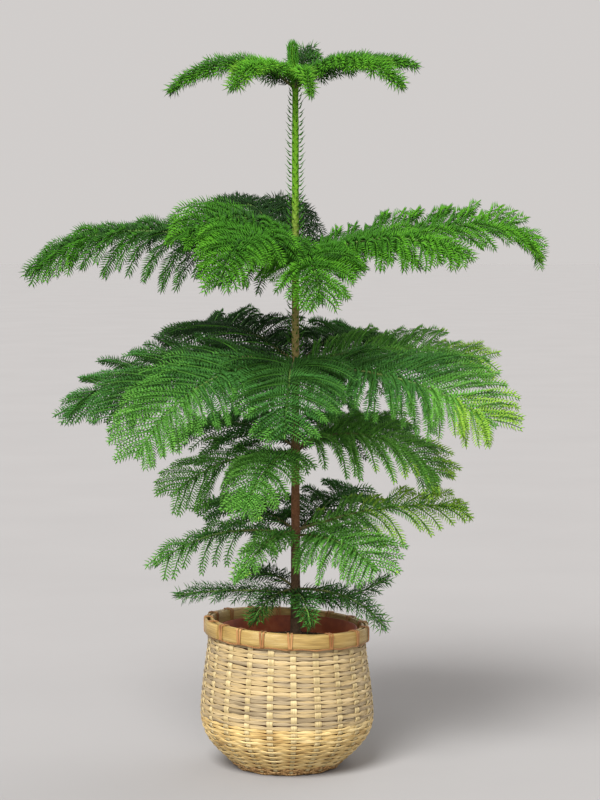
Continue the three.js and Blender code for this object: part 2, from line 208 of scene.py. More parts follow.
def add_relief(tree, shader, height, distance):
    """Raises the surface a little where a value is high."""
    bump = add_node(tree, "ShaderNodeBump", {"Strength": 1.0, "Distance": distance})
    tree.links.new(height, bump.inputs["Height"])
    tree.links.new(bump.outputs["Normal"], shader.inputs["Normal"])


def vary_roughness(tree, shader, factor, low, high):
    """Lets the gloss follow a value over the surface."""
    level = add_node(tree, "ShaderNodeMapRange", {"To Min": low, "To Max": high})
    tree.links.new(factor, level.inputs["Value"])
    tree.links.new(level.outputs["Result"], shader.inputs["Roughness"])


print("material helpers ready")

# %% [markdown]
# The floor is a wide pale disc. It reaches far behind the plant, and its tone there is close to the
# world's, so no wall is needed.

# %% Pale floor
FLOOR_RADIUS = 30.0
FLOOR_SIDES = 128
FLOOR_COLOUR = (0.313, 0.304, 0.300)
FLOOR_SHADE = 0.97
FLOOR_CLOUD = 3.0

bpy.ops.mesh.primitive_circle_add(vertices=FLOOR_SIDES, radius=FLOOR_RADIUS, fill_type="NGON")
floor = bpy.context.object
floor.name = "floor"
pale = [(0.0, toned(FLOOR_COLOUR, FLOOR_SHADE)), (1.0, FLOOR_COLOUR)]
floor_finish, *_ = mottled("floor_finish", FLOOR_CLOUD, pale, roughness=1.0, specular=0.0)
floor.data.materials.append(floor_finish)
print("floor:", FLOOR_RADIUS, "m round")

# %% [markdown]
# ## Helpers for meshes
# Most pieces start as a primitive, are cut and shaped in edit mode, and get their thickness from
# modifiers. Where a bend follows a rule, the corners of the primitive are moved by that rule, all at
# once, in an array. That is quicker and more exact than a bend by hand.

# %% Mesh helpers
SAME_PLACE = 1e-6


def select_only(piece):
    """Makes one piece the only selected one, and the active one."""
    bpy.ops.object.select_all(action="DESELECT")
    piece.select_set(True)
    bpy.context.view_layer.objects.active = piece


def corners_of(piece):
    """The places of a mesh's corners, one row for each."""
    places = np.empty(len(piece.data.vertices) * 3, np.float32)
    piece.data.vertices.foreach_get("co", places)
    return places.reshape(-1, 3).astype(float)


def move_corners(piece, places):
    """Puts a mesh's corners at new places."""
    piece.data.vertices.foreach_set("co", places.astype(np.float32).ravel())
    piece.data.update()


def copy_of(piece, name):
    """A copy of a piece with a mesh of its own."""
    twin = piece.copy()
    twin.data = piece.data.copy()
    twin.name = name
    bpy.context.collection.objects.link(twin)
    return twin


def select_edges(piece, test):
    """Opens a piece in edit mode, with those edges selected whose two corners pass a test."""
    select_only(piece)
    bpy.ops.object.mode_set(mode="EDIT")
    bpy.ops.mesh.select_mode(type="EDGE")
    bpy.ops.mesh.select_all(action="DESELECT")
    bpy.ops.object.mode_set(mode="OBJECT")
    for edge in piece.data.edges:
        edge.select = bool(test(*edge.vertices))
    bpy.ops.object.mode_set(mode="EDIT")


def cut_rings(piece, cuts):
    """Cuts all the upright edges of a tube, which adds rings round it."""
    flat = corners_of(piece)[:, :2]
    select_edges(piece, lambda start, end: np.abs(flat[start] - flat[end]).max() < SAME_PLACE)
    bpy.ops.mesh.subdivide(number_cuts=cuts)
    bpy.ops.object.mode_set(mode="OBJECT")


print("mesh helpers ready")

# %% Places round the upright axis
def headings_of(places):
    """The heading of each place round the axis."""
    return np.arctan2(places[:, 1], places[:, 0])


def places_round(radius, heading, height):
    """Places at a radius, a heading and a height."""
    return np.stack([radius * np.cos(heading), radius * np.sin(heading), height], axis=1)


def rounded(level):
    """The bulge of a strip: full at its middle and nothing at its two edges."""
    return 1 - 4 * level**2


print("axis helpers ready")

# %% Thickness, joining and dressing
def thicken(piece, thickness, bevel, segments=1):
    """Gives a thin strip its thickness and softens its edges."""
    select_only(piece)
    wall = piece.modifiers.new("wall", "SOLIDIFY")
    wall.thickness = thickness
    wall.offset = 0
    edge = piece.modifiers.new("edge", "BEVEL")
    edge.width = bevel
    edge.segments = segments
    edge.limit_method = "ANGLE"
    bpy.ops.object.modifier_apply(modifier=wall.name)
    bpy.ops.object.modifier_apply(modifier=edge.name)


def join(pieces, name):
    """Joins several pieces into one."""
    bpy.ops.object.select_all(action="DESELECT")
    for piece in pieces:
        piece.select_set(True)
    bpy.context.view_layer.objects.active = pieces[0]
    bpy.ops.object.join()
    joined = bpy.context.object
    joined.name = name
    joined.data.name = name
    return joined


def dress(piece, material, slot, *nodes, smooth_below=40):
    """Finishes a piece: its material and body, and the solids that it stands for; the slot is not used."""
    piece.data.materials.clear()
    piece.data.materials.append(material)
    select_only(piece)
    bpy.ops.object.shade_smooth_by_angle(angle=math.radians(smooth_below))
    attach(piece, "root")
    if nodes:
        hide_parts(*nodes)
    bpy.ops.object.select_all(action="DESELECT")
    triangles = sum(len(face.vertices) - 2 for face in piece.data.polygons)
    print(piece.name, "has", triangles, "triangles")


print("finishing helpers ready")

# %% [markdown]
# ## The basket's weave
# Split-bamboo strips are woven over and under upright stakes. A bump pattern would look flat from the
# side, so each strip is real: a band round the basket that swings out over one stake and in behind the
# next. The wall bellies out low down and draws in to a small foot. All places on it are given by the
# distance down the wall, so the rows keep their spacing where it curves.

# %% The wall's outline
BASKET_OUTLINE = np.array([
    [0.099, 0.1617], [0.100, 0.146], [0.1057, 0.103], [0.1085, 0.066],
    [0.103, 0.043], [0.091, 0.0265], [0.078, 0.014], [0.064, 0.0],
])
OUTLINE_STEPS = 12
WEAVE_INSET = 0.0018
RIM_TOP = 0.182
RIM_TILT = 0.055


def smooth_line(points, steps):
    """A smooth line through a few points (a Catmull-Rom spline)."""
    ends = np.vstack([points[:1], points, points[-1:]])
    share = np.linspace(0, 1, steps, endpoint=False)[:, None]
    runs = []
    for before, start, end, after in zip(ends, ends[1:], ends[2:], ends[3:]):
        bend = 2 * before - 5 * start + 4 * end - after
        twist = 3 * start - before - 3 * end + after
        runs.append(start + 0.5 * ((end - before) * share + bend * share**2 + twist * share**3))
    return np.vstack([*runs, points[-1:]])


wall_line = smooth_line(BASKET_OUTLINE, OUTLINE_STEPS)
wall_steps = np.linalg.norm(np.diff(wall_line, axis=0), axis=1)
wall_arc = np.concatenate([[0], np.cumsum(wall_steps)])
wall_run = np.gradient(wall_line, wall_arc, axis=0)
WALL_LENGTH = wall_arc[-1]


def on_wall(arc, outward):
    """Radius and height at a distance down the wall, a little outside or inside the weave's middle."""
    radius, height, run_out, run_up = (
        np.interp(arc, wall_arc, column) for column in (*wall_line.T, *wall_run.T)
    )
    above = np.minimum(arc, 0)
    offset = outward - WEAVE_INSET
    return radius - offset * run_up, height - above + offset * run_out


def tilt(places):
    """The hand-made basket stands a little taller on its left side."""
    lifted = places.copy()
    lifted[:, 2] -= RIM_TILT * places[:, 0] * places[:, 2] / RIM_TOP
    return lifted


print("wall:", round(WALL_LENGTH * 1000), "mm from rim to foot")

# %% Rows of weavers
STAKES = 22
FRONT_STAKE = math.radians(-85)
BROAD_ROWS = 19
BROAD_PITCH = 0.0052
THIN_PITCH = 0.0042
PITCH_SCATTER = 0.16
WEAVE_START = -0.003
SEED = 20

random = np.random.default_rng(SEED)
weave_length = WALL_LENGTH - WEAVE_START
thin_count = int((weave_length - BROAD_ROWS * BROAD_PITCH) / THIN_PITCH)
row_pitches = np.repeat([BROAD_PITCH, THIN_PITCH], [BROAD_ROWS, thin_count])
row_pitches = row_pitches * random.uniform(1 - PITCH_SCATTER, 1 + PITCH_SCATTER, len(row_pitches))
row_pitches *= weave_length / row_pitches.sum()
row_arcs = WEAVE_START + np.cumsum(row_pitches) - row_pitches / 2
print("rows:", BROAD_ROWS, "broad and", thin_count, "thin")

# %% [markdown]
# The weavers all start as copies of one open band. A copy takes its row's place down the wall, fills
# its row's width, is pulled narrow where it crosses a stake, and wanders a little, since no row is quite
# level. A strip drawn along a curve for each row would take far more work to keep clear of the stakes.

# %% One band for every row
STEPS_PER_STAKE = 6
UV_ROW_STEP = 0.37


def open_band(name, steps, cuts):
    """A band round the axis with no ends, cut into rings across its width."""
    bpy.ops.mesh.primitive_cylinder_add(vertices=steps, radius=1, depth=1, end_fill_type="NOTHING")
    piece = bpy.context.object
    piece.name = name
    if cuts:
        cut_rings(piece, cuts)
    return piece


def set_strip_uv(piece, length, width, row):
    """Lays the strip's UV map out in metres, so that streaks have the same size on every strip."""
    layer = piece.data.uv_layers.active.data
    spread = np.empty(len(layer) * 2, np.float32)
    layer.foreach_get("uv", spread)
    spread = spread.reshape(-1, 2)
    spread -= spread.min(axis=0)
    spread *= np.array([length, width]) / spread.max(axis=0)
    spread += row * UV_ROW_STEP
    layer.foreach_set("uv", spread.astype(np.float32).ravel())


band = open_band("band", STAKES * STEPS_PER_STAKE, 1)
print("band:", len(band.data.polygons), "faces")

# %% Weavers
WEAVER_SWING = 0.0010
WEAVER_BULGE = 0.0003
WEAVER_WOBBLE = 0.0004
WOBBLE_WAVES = 3
WEAVER_PINCH = 0.56
PINCH_SHARPNESS = 4
WEAVER_THICKNESS = 0.0011
SOFT_EDGE = 0.25


def weaver(row):
    """One row: a band that swings over one stake, where it is pulled narrow, and behind the next."""
    strip = copy_of(band, f"weaver_{row}")
    places = corners_of(strip)
    heading = headings_of(places)
    level = places[:, 2]
    side = 1 if row % 2 else -1
    swing = side * np.cos(STAKES / 2 * (heading - FRONT_STAKE))
    bulge = WEAVER_BULGE * rounded(level)
    wobble = WEAVER_WOBBLE * np.sin(WOBBLE_WAVES * heading + random.uniform(0, 2 * np.pi))
    width = row_pitches[row] * (1 - WEAVER_PINCH * np.clip(swing, 0, 1) ** PINCH_SHARPNESS)
    arc = row_arcs[row] - level * width + wobble
    radius, height = on_wall(arc, WEAVER_SWING * swing + bulge)
    move_corners(strip, places_round(radius, heading, height))
    set_strip_uv(strip, 2 * np.pi * radius.mean(), row_pitches[row], row)
    thicken(strip, WEAVER_THICKNESS, SOFT_EDGE * WEAVER_THICKNESS)
    return strip


weavers = [weaver(row) for row in range(len(row_arcs))]
bpy.data.objects.remove(band)
print("weavers:", len(weavers))

# %% [markdown]
# The stakes run the other way: strips from the rim to the foot, which pass over a row where the weaver
# goes behind, and under it where the weaver comes out front. One flat splint is modelled, and each stake
# is a copy of it that is bent along the wall, so neighbours can swing in opposite ways.

# %% Upright stakes
STAKE_WIDTH = 0.0076
STAKE_WIDTH_SCATTER = (0.8, 1.15)
STAKE_SCATTER = 0.06
STAKE_SWING = 0.0009
STAKE_TOP = -0.014
STAKE_END = WALL_LENGTH - 0.004
STAKE_NARROWS_FROM = 0.1
STAKE_NARROWEST = 0.6
STAKE_STEPS = 130
STAKE_THICKNESS = 0.0012

bpy.ops.mesh.primitive_grid_add(x_subdivisions=2, y_subdivisions=STAKE_STEPS, size=1)
splint = bpy.context.object
splint.name = "splint"


def stake(number):
    """One upright strip at its heading round the basket."""
    strip = copy_of(splint, f"stake_{number}")
    places = corners_of(strip)
    arc = STAKE_TOP + (0.5 - places[:, 1]) * (STAKE_END - STAKE_TOP)
    row = np.interp(arc, row_arcs, np.arange(len(row_arcs)))
    side = -1 if number % 2 else 1
    swing = side * STAKE_SWING * np.cos(np.pi * row) * (arc > WEAVE_START)
    radius, height = on_wall(arc, swing)
    narrowing = np.interp(arc, [STAKE_NARROWS_FROM, STAKE_END], [1, STAKE_NARROWEST])
    across = -places[:, 0] * STAKE_WIDTH * random.uniform(*STAKE_WIDTH_SCATTER) * narrowing
    turn = number + random.uniform(-STAKE_SCATTER, STAKE_SCATTER)
    heading = FRONT_STAKE + 2 * np.pi * turn / STAKES - across / radius
    move_corners(strip, places_round(radius, heading, height))
    set_strip_uv(strip, STAKE_WIDTH, STAKE_END - STAKE_TOP, number + 0.5)
    thicken(strip, STAKE_THICKNESS, SOFT_EDGE * STAKE_THICKNESS)
    return strip


stakes = [stake(number) for number in range(STAKES)]
bpy.data.objects.remove(splint)
print("stakes:", len(stakes))

# %% [markdown]
# Bamboo that is split with its skin dries to straw yellow, and strips from deeper in the cane stay beige
# or go grey. The colour changes slowly along a strip and is streaked by its fibres. One colour with a
# little noise would look like plastic, so both effects are stretched along the strip's own UV map.

# %% Bamboo finish
BAMBOO_SHEEN = 0.35
PATCHES_ACROSS = 110.0
FIBRES_ALONG = 40.0
FIBRES_ACROSS = 1300.0
FIBRE_SHADE = 0.68
FIBRE_RELIEF = 0.0003
FIBRE_DULLER = 0.1
FIBRE_GLOSSIER = 0.08


def bamboo(name, tones, roughness, patches_along, lengthwise=True):
    """A streaked bamboo finish: slow patches of tone along the strip and fine fibres on them."""
    material, tree, shader = start_material(name, roughness, BAMBOO_SHEEN)
    axes = ("Along", "Across") if lengthwise else ("Across", "Along")
    patch = pattern(tree, STREAKS, "UV", **dict(zip(axes, (patches_along, PATCHES_ACROSS))))
    fibre = pattern(tree, STREAKS, "UV", **dict(zip(axes, (FIBRES_ALONG, FIBRES_ACROSS))))
    stops = [(index / (len(tones) - 1), tone) for index, tone in enumerate(tones)]
    colour = shade(tree, colour_ramp(tree, patch, stops), fibre, FIBRE_SHADE)
    tree.links.new(colour, shader.inputs["Base Color"])
    vary_roughness(tree, shader, fibre, roughness + FIBRE_DULLER, roughness - FIBRE_GLOSSIER)
    add_relief(tree, shader, fibre, FIBRE_RELIEF)
    return material


print("bamboo finish ready")

# %% Finished weave
WEAVE_BEIGE = [(0.19, 0.135, 0.068), (0.40, 0.305, 0.175), (0.50, 0.36, 0.165), (0.68, 0.52, 0.28)]
# The thin rows' gold is their own colour, made lighter still as painted light from below, in place of
# light thrown up from the floor.
WEAVE_GOLD_AND_PAINTED_BOUNCE = [(0.42, 0.25, 0.078), (0.74, 0.52, 0.20), (0.92, 0.71, 0.34)]
STAKE_STRAW = [(0.49, 0.37, 0.17), (0.68, 0.54, 0.28)]
FOOT_ROWS = 3

beige_weave = bamboo("beige_weave", WEAVE_BEIGE, roughness=0.6, patches_along=9.0)
golden_weave = bamboo("golden_weave", WEAVE_GOLD_AND_PAINTED_BOUNCE, roughness=0.55, patches_along=20.0)
straw_stake = bamboo("straw_stake", STAKE_STRAW, roughness=0.5, patches_along=12.0, lengthwise=False)

weave_pieces = [
    (join(weavers[:BROAD_ROWS], "weave_broad"), beige_weave),
    (join(weavers[BROAD_ROWS:-FOOT_ROWS], "weave_thin"), golden_weave),
    (join(stakes, "weave_stakes"), straw_stake),
]
for piece, finish in weave_pieces:
    move_corners(piece, tilt(corners_of(piece)))
    dress(piece, finish, "bamboo_weave", "basket_wall")

# %% [markdown]
# ## The basket's foot
# The last rows are of coarse fibre, and the basket stands on a ring twisted from it, with a flat base
# inside. Strands could be wound one by one, but the ring hardly shows: a torus is a fair start, and its
# skin is ribbed like a rope by moving the corners in and out.

# %% Foot ring
FOOT_RADIUS = 0.0600
FOOT_THICKNESS = 0.0042
FOOT_STEPS = 260
FOOT_SIDES = 12
FOOT_PLIES = 3
FOOT_STRANDS = 46
FOOT_RIB = 0.0007

bpy.ops.mesh.primitive_torus_add(
    major_radius=FOOT_RADIUS, minor_radius=FOOT_THICKNESS,
    major_segments=FOOT_STEPS, minor_segments=FOOT_SIDES,
)
foot = bpy.context.object
places = corners_of(foot)
heading = headings_of(places)
spread = np.hypot(places[:, 0], places[:, 1]) - FOOT_RADIUS
turn = np.arctan2(places[:, 2], spread)
rope = FOOT_THICKNESS - FOOT_RIB + FOOT_RIB * np.cos(FOOT_PLIES * turn + FOOT_STRANDS * heading)
radius = FOOT_RADIUS + rope * np.cos(turn)
height = FOOT_THICKNESS + rope * np.sin(turn)
move_corners(foot, places_round(radius, heading, height))
print("foot ring:", len(foot.data.polygons), "faces")

# %% Base and finish of the foot
BASE_RADIUS = 0.059
BASE_HEIGHT = 0.004
BASE_THICKNESS = 0.002
BASE_EDGE = 0.0004
BASE_SIDES = 96
BASE_RINGS = 5
RING_WIDTH = BASE_RADIUS / 6.5
FIBRE_SPECKLE = 420.0
FOOT_RELIEF = 0.0006
DARK_FIBRE = [(0.1, (0.14, 0.066, 0.025)), (0.5, (0.43, 0.25, 0.095)), (0.9, (0.70, 0.46, 0.21))]


def flat_disc(sides, radius, height):
    """A flat disc at a height, with its place written into its mesh."""
    bpy.ops.mesh.primitive_circle_add(
        vertices=sides, radius=radius, fill_type="NGON", location=(0, 0, height)
    )
    bpy.ops.object.transform_apply(location=True, rotation=False, scale=False)
    return bpy.context.object


base = flat_disc(BASE_SIDES, BASE_RADIUS, BASE_HEIGHT)
bpy.ops.object.mode_set(mode="EDIT")
bpy.ops.mesh.select_all(action="SELECT")
for _ in range(BASE_RINGS):
    bpy.ops.mesh.inset(thickness=RING_WIDTH)
bpy.ops.object.mode_set(mode="OBJECT")
thicken(base, BASE_THICKNESS, BASE_EDGE)
foot_piece = join([foot, base, *weavers[-FOOT_ROWS:]], "basket_foot")
fibre_foot, tree, shader, speckle = mottled(
    "fibre_foot", FIBRE_SPECKLE, DARK_FIBRE, roughness=0.8, specular=0.2
)
add_relief(tree, shader, speckle, FOOT_RELIEF)
dress(foot_piece, fibre_foot, "bamboo_weave", "basket_wall")

# %% [markdown]
# ## The rim
# Two hoops of split bamboo clamp the top of the weave between them. The ends of each hoop overlap on the
# left, where the maker joined them. A closed ring can't overlap itself, so a band is split along one seam
# and drawn round a little further than a full turn.

# %% Splitting a band at its seam
HOOP_STEPS = 144
HOOP_CUTS = 3
SAME_HEADING = 1e-4

hoop_band = open_band("hoop_band", HOOP_STEPS, HOOP_CUTS)


def split_band(name):
    """A copy of the hoops' band, with loose ends at one seam."""
    strip = copy_of(hoop_band, name)
    heading = np.mod(headings_of(corners_of(strip)), 2 * np.pi)
    seam = np.abs(heading - heading.min()) < SAME_HEADING
    select_edges(strip, lambda start, end: seam[start] and seam[end])
    bpy.ops.mesh.edge_split(type="EDGE")
    bpy.ops.object.mode_set(mode="OBJECT")
    return strip


def band_shares(strip):
    """How far round a split band each corner is, from 0 at one loose end to 1 at the other."""
    places = corners_of(strip)
    turns = np.zeros(len(places))
    counts = np.zeros(len(places))
    for face in strip.data.polygons:
        ring = list(face.vertices)
        centre = places[ring].mean(axis=0)
        turns[ring] += np.mod(math.atan2(centre[1], centre[0]), 2 * np.pi)
        counts[ring] += 1
    return turns / np.maximum(counts, 1) / (2 * np.pi)


def lay_uv(piece, along, across):
    """Lays the strip's UV map out by a place along it and a place across it for each corner."""
    owners = np.empty(len(piece.data.loops), np.int32)
    piece.data.loops.foreach_get("vertex_index", owners)
    spread = np.stack([along[owners], across[owners]], axis=1)
    piece.data.uv_layers.active.data.foreach_set("uv", spread.astype(np.float32).ravel())


print("hoops' band:", len(hoop_band.data.polygons), "faces")

# %% Hoops
HOOP_THICKNESS = 0.0032
HOOP_EDGE = 0.0010
HOOP_BOTTOM = 0.1645
HOOP_MIDDLE = (HOOP_BOTTOM + RIM_TOP) / 2
HOOP_BULGE = 0.0009
OUTER_HOOP = 0.0997
INNER_HOOP = 0.0947
HOOP_JOINT = math.radians(-166)
HOOP_OVERLAP = math.radians(22)
HOOP_LAP = 0.0022
LAP_FROM = 0.9
LAP_RUN = 0.05
UV_HOOP_STEP = 100
HONEY = [(0.28, 0.17, 0.044), (0.44, 0.29, 0.09), (0.57, 0.41, 0.155)]


def hoop(name, middle, outward, lap):
    """A split-bamboo hoop, drawn out to its size with its far end lapped over its start."""
    strip = split_band(name)
    shares = band_shares(strip)
    level = corners_of(strip)[:, 2]
    heading = HOOP_JOINT + shares * (2 * np.pi + HOOP_OVERLAP)
    lifted = lap * np.clip((shares - LAP_FROM) / LAP_RUN, 0, 1)
    radius = middle + outward * HOOP_BULGE * rounded(level) + lifted
    rise = level * (RIM_TOP - HOOP_BOTTOM)
    move_corners(strip, places_round(radius, heading, HOOP_MIDDLE + rise))
    lay_uv(strip, shares * 2 * np.pi * middle, rise + middle * UV_HOOP_STEP)
    thicken(strip, HOOP_THICKNESS, HOOP_EDGE, segments=2)
    return strip


hoops = [hoop("outer_hoop", OUTER_HOOP, 1, HOOP_LAP), hoop("inner_hoop", INNER_HOOP, -1, -HOOP_LAP)]
bpy.data.objects.remove(hoop_band)
rim_piece = join(hoops, "rim_hoops")
move_corners(rim_piece, tilt(corners_of(rim_piece)))
honey_bamboo = bamboo("honey_bamboo", HONEY, roughness=0.38, patches_along=14.0)
dress(rim_piece, honey_bamboo, "bamboo_rim", "basket_rim")

# %% [markdown]
# Thin rattan binds the two hoops together in double turns, not quite evenly round the rim, and a cord of
# the same rattan runs along under the outer hoop. A turn is a short band laid round the hoops' section;
# a power of its rounding makes it hug their flat sides.

# %% Rattan bindings
BINDINGS = (-68, -51.6, -34.4, -16.9, 2.4, 31.9, 58, 80, 102, 124, 146, 167, 187, 208, 230, 252, 273)
BINDING_STEPS = 32
BINDING_WIDTH = 0.0025
BINDING_THICKNESS = 0.0009
BINDING_PAIR = 0.0017
BINDING_SLANT = 0.0006
BINDING_CLEARANCE = 0.0009
BINDING_ROUNDNESS = 0.28

loop = open_band("loop", BINDING_STEPS, 0)
loop_places = corners_of(loop)
loop_middle = (OUTER_HOOP + INNER_HOOP) / 2
loop_reach = (OUTER_HOOP - INNER_HOOP + HOOP_THICKNESS) / 2 + HOOP_BULGE + BINDING_CLEARANCE
loop_rise = (RIM_TOP - HOOP_BOTTOM) / 2 + BINDING_CLEARANCE


def binding(angle, offset):
    """One turn of rattan round both hoops, at an angle from the front."""
    turn = copy_of(loop, "binding")
    around = np.sign(loop_places[:, :2]) * np.abs(loop_places[:, :2]) ** BINDING_ROUNDNESS
    outward = loop_middle + loop_reach * around[:, 0]
    height = HOOP_MIDDLE + loop_rise * around[:, 1]
    sideways = offset - loop_places[:, 2] * BINDING_WIDTH + BINDING_SLANT * around[:, 1] * np.sign(offset)
    heading = math.radians(angle - 90)
    x = outward * math.cos(heading) - sideways * math.sin(heading)
    y = outward * math.sin(heading) + sideways * math.cos(heading)
    move_corners(turn, np.stack([x, y, height], axis=1))
    set_strip_uv(turn, 2 * (loop_reach + loop_rise) * 2, BINDING_WIDTH, angle)
    thicken(turn, BINDING_THICKNESS, SOFT_EDGE * BINDING_THICKNESS)
    return turn


bindings = [binding(angle, offset) for angle in BINDINGS for offset in (-BINDING_PAIR, BINDING_PAIR)]
bpy.data.objects.remove(loop)
print("bindings:", len(bindings))

# %% Cord under the rim
CORD_RADIUS = 0.0011
CORD_STEPS = 220
CORD_SIDES = 8
CORD_INSET = 0.0008
CORD_WAVE = 0.0007
CORD_WAVES = 17
RATTAN_BROWN = [(0.25, 0.095, 0.026), (0.41, 0.19, 0.062), (0.54, 0.29, 0.11)]

bpy.ops.mesh.primitive_torus_add(
    major_radius=OUTER_HOOP + CORD_INSET, minor_radius=CORD_RADIUS,
    major_segments=CORD_STEPS, minor_segments=CORD_SIDES,
)
cord = bpy.context.object
places = corners_of(cord)
places[:, 2] += HOOP_BOTTOM - CORD_INSET + CORD_WAVE * np.sin(CORD_WAVES * headings_of(places))
move_corners(cord, places)
binding_piece = join([*bindings, cord], "rim_bindings")
move_corners(binding_piece, tilt(corners_of(binding_piece)))
rattan = bamboo("rattan", RATTAN_BROWN, roughness=0.42, patches_along=60.0)
dress(binding_piece, rattan, "bamboo_rim", "basket_rim")

# %% [markdown]
# ## Nursery pot and soil
# Inside the basket is the thin moulded pot that the plant grew in, and only its reddish inner wall shows.
# It is a disc that is extruded and scaled ring by ring, up the outside, over a rolled lip and down the
# inside. A lathe of an outline would do as well; the extrusion gives a closed body with no pole to close.

# %% The pot
POT_BOTTOM = 0.0053
POT_TOP = 0.174
POT_FOOT = 0.061
POT_LIP = 0.088
POT_WALL = 0.002
POT_FLARE = 0.021
POT_SHOULDER = 0.140
POT_SIDES = 72
POT_OUTLINE = [
    (POT_FOOT, POT_BOTTOM), (POT_FOOT + POT_FLARE, POT_SHOULDER), (POT_LIP - 0.0015, 0.164),
    (POT_LIP, 0.1655), (POT_LIP, POT_TOP - 0.001), (POT_LIP - 0.0008, POT_TOP),
    (POT_LIP - POT_WALL, POT_TOP), (POT_LIP - POT_WALL - 0.0008, POT_TOP - 0.001),
    (POT_LIP - POT_WALL - 0.002, 0.160),
    (POT_FOOT - POT_WALL + POT_FLARE, POT_SHOULDER), (POT_FOOT - POT_WALL, POT_BOTTOM + POT_WALL),
]
POT_DUST = 55.0
CLAY = [(0.1, (0.18, 0.034, 0.011)), (0.6, (0.27, 0.058, 0.019)), (1.0, (0.35, 0.105, 0.042))]


def turned_up(name, outline, sides):
    """Extrudes a disc ring by ring through pairs of radius and height, into a closed body."""
    piece = flat_disc(sides, *outline[0])
    piece.name = name
    bpy.ops.object.mode_set(mode="EDIT")
    bpy.ops.mesh.select_all(action="SELECT")
    for (here, low), (there, high) in zip(outline, outline[1:]):
        bpy.ops.mesh.extrude_region_move(TRANSFORM_OT_translate={"value": (0, 0, high - low)})
        bpy.ops.transform.resize(value=(there / here, there / here, 1))
    bpy.ops.mesh.select_all(action="SELECT")
    bpy.ops.mesh.normals_make_consistent(inside=False)
    bpy.ops.object.mode_set(mode="OBJECT")
    return piece


pot = turned_up("nursery_pot", POT_OUTLINE, POT_SIDES)
terracotta, tree, shader, dust = mottled("terracotta", POT_DUST, CLAY, roughness=0.6, specular=0.35)
vary_roughness(tree, shader, dust, low=0.5, high=0.75)
dress(pot, terracotta, "terracotta_pot", "inner_pot")

# %% [markdown]
# The soil is a low mound, damp and dark. Its top is a set of rings, lumped by smooth noise at two scales.
# A bump alone would look flat from this low camera, so the larger lumps are real and the clods a bump.

# %% The soil
SOIL_TOP = 0.1597
SOIL_EDGE = 0.1557
SOIL_RADIUS = 0.0825
SOIL_BOTTOM = 0.0078
SOIL_FLAT = 0.024
SOIL_RINGS = 26
SOIL_SIDES = 110
SOIL_EYE = 0.002
SOIL_INSET = 0.003
SOIL_RIM = 1e-3
SOIL_LUMP = 0.0022
LUMPS = ((0.6, 90), (0.4, 330))
SOIL_CLODS = 260.0
SOIL_RELIEF = 0.0015
EARTH = [(0.15, (0.012, 0.008, 0.006)), (0.6, (0.035, 0.023, 0.016)), (0.95, (0.10, 0.068, 0.045))]

ring_radii = np.linspace(SOIL_RADIUS, SOIL_EYE, SOIL_RINGS)
ring_heights = np.interp(ring_radii, [0, SOIL_FLAT, SOIL_RADIUS], [SOIL_TOP, SOIL_TOP, SOIL_EDGE])
soil_outline = [(POT_FOOT - SOIL_INSET, SOIL_BOTTOM), *zip(ring_radii, ring_heights - SOIL_LUMP)]
soil = turned_up("soil_mound", soil_outline, SOIL_SIDES)
places = corners_of(soil)
inside = np.hypot(places[:, 0], places[:, 1]) < SOIL_RADIUS - SOIL_RIM
on_top = (places[:, 2] > SOIL_EDGE - 2 * SOIL_LUMP) & inside
for index in np.argwhere(on_top).ravel():
    spot = Vector(places[index])
    places[index, 2] += SOIL_LUMP * sum(part * noise.noise(spot * scale) for part, scale in LUMPS)
move_corners(soil, places)
damp_soil, tree, shader, clods = mottled("damp_soil", SOIL_CLODS, EARTH, roughness=0.95, specular=0.2)
add_relief(tree, shader, clods, SOIL_RELIEF)
dress(soil, damp_soil, "soil", "soil")

# %% [markdown]
# ## Meshes from arrays
# Crumbs, twigs and needles come by the thousand, so they aren't modelled one by one. One small shape is
# worked out as an array of corners, repeated over an array of places, and joined into one mesh of plain
# triangles. Copies of an object would look the same, but thousands of them would be slow to handle.

# %% One mesh from many small bodies
def joined_mesh(name, corners, triangles):
    """A piece from an array of bodies, all with their corners in one order, and one body's triangles."""
    bodies, count = corners.shape[:2]
    firsts = np.arange(bodies)[:, None, None] * count
    faces = (firsts + triangles[None]).reshape(-1, 3).astype(np.int32)
    mesh = bpy.data.meshes.new(name)
    mesh.vertices.add(bodies * count)
    mesh.vertices.foreach_set("co", corners.astype(np.float32).ravel())
    mesh.loops.add(faces.size)
    mesh.loops.foreach_set("vertex_index", faces.ravel())
    mesh.polygons.add(len(faces))
    mesh.polygons.foreach_set("loop_start", np.arange(0, faces.size, 3, dtype=np.int32))
    mesh.update(calc_edges=True)
    piece = bpy.data.objects.new(name, mesh)
    bpy.context.collection.objects.link(piece)
    return piece


def unit(vectors):
    """The same directions, at length one."""
    return vectors / np.linalg.norm(vectors, axis=-1, keepdims=True)


print("array helpers ready")

# %% [markdown]
# Loose crumbs and chips of bark lie on the soil. Each is an octahedron with its six corners pushed in and
# out, which is enough for a grain a few millimetres wide.

# %% Crumbs on the soil
CRUMBS = 420
CRUMB_SIZES = (0.0009, 0.0030)
CRUMB_DENTS = (0.5, 1.1)
CRUMB_AREA = (0.02, 1)
CRUMB_MARGIN = 0.005
CRUMB_FLATNESS = 0.6
CRUMB_SINK = 0.6 * SOIL_LUMP
CRUMB_MOTTLE = 140.0
CHIPS = [(0.2, (0.030, 0.019, 0.012)), (0.6, (0.085, 0.050, 0.028)), (0.95, (0.30, 0.22, 0.15))]
OCTAHEDRON = np.array([[1, 0, 0], [0, 1, 0], [-1, 0, 0], [0, -1, 0], [0, 0, 1], [0, 0, -1]], float)
OCTAHEDRON_FACES = np.array([
    [0, 1, 4], [1, 2, 4], [2, 3, 4], [3, 0, 4], [1, 0, 5], [2, 1, 5], [3, 2, 5], [0, 3, 5],
])

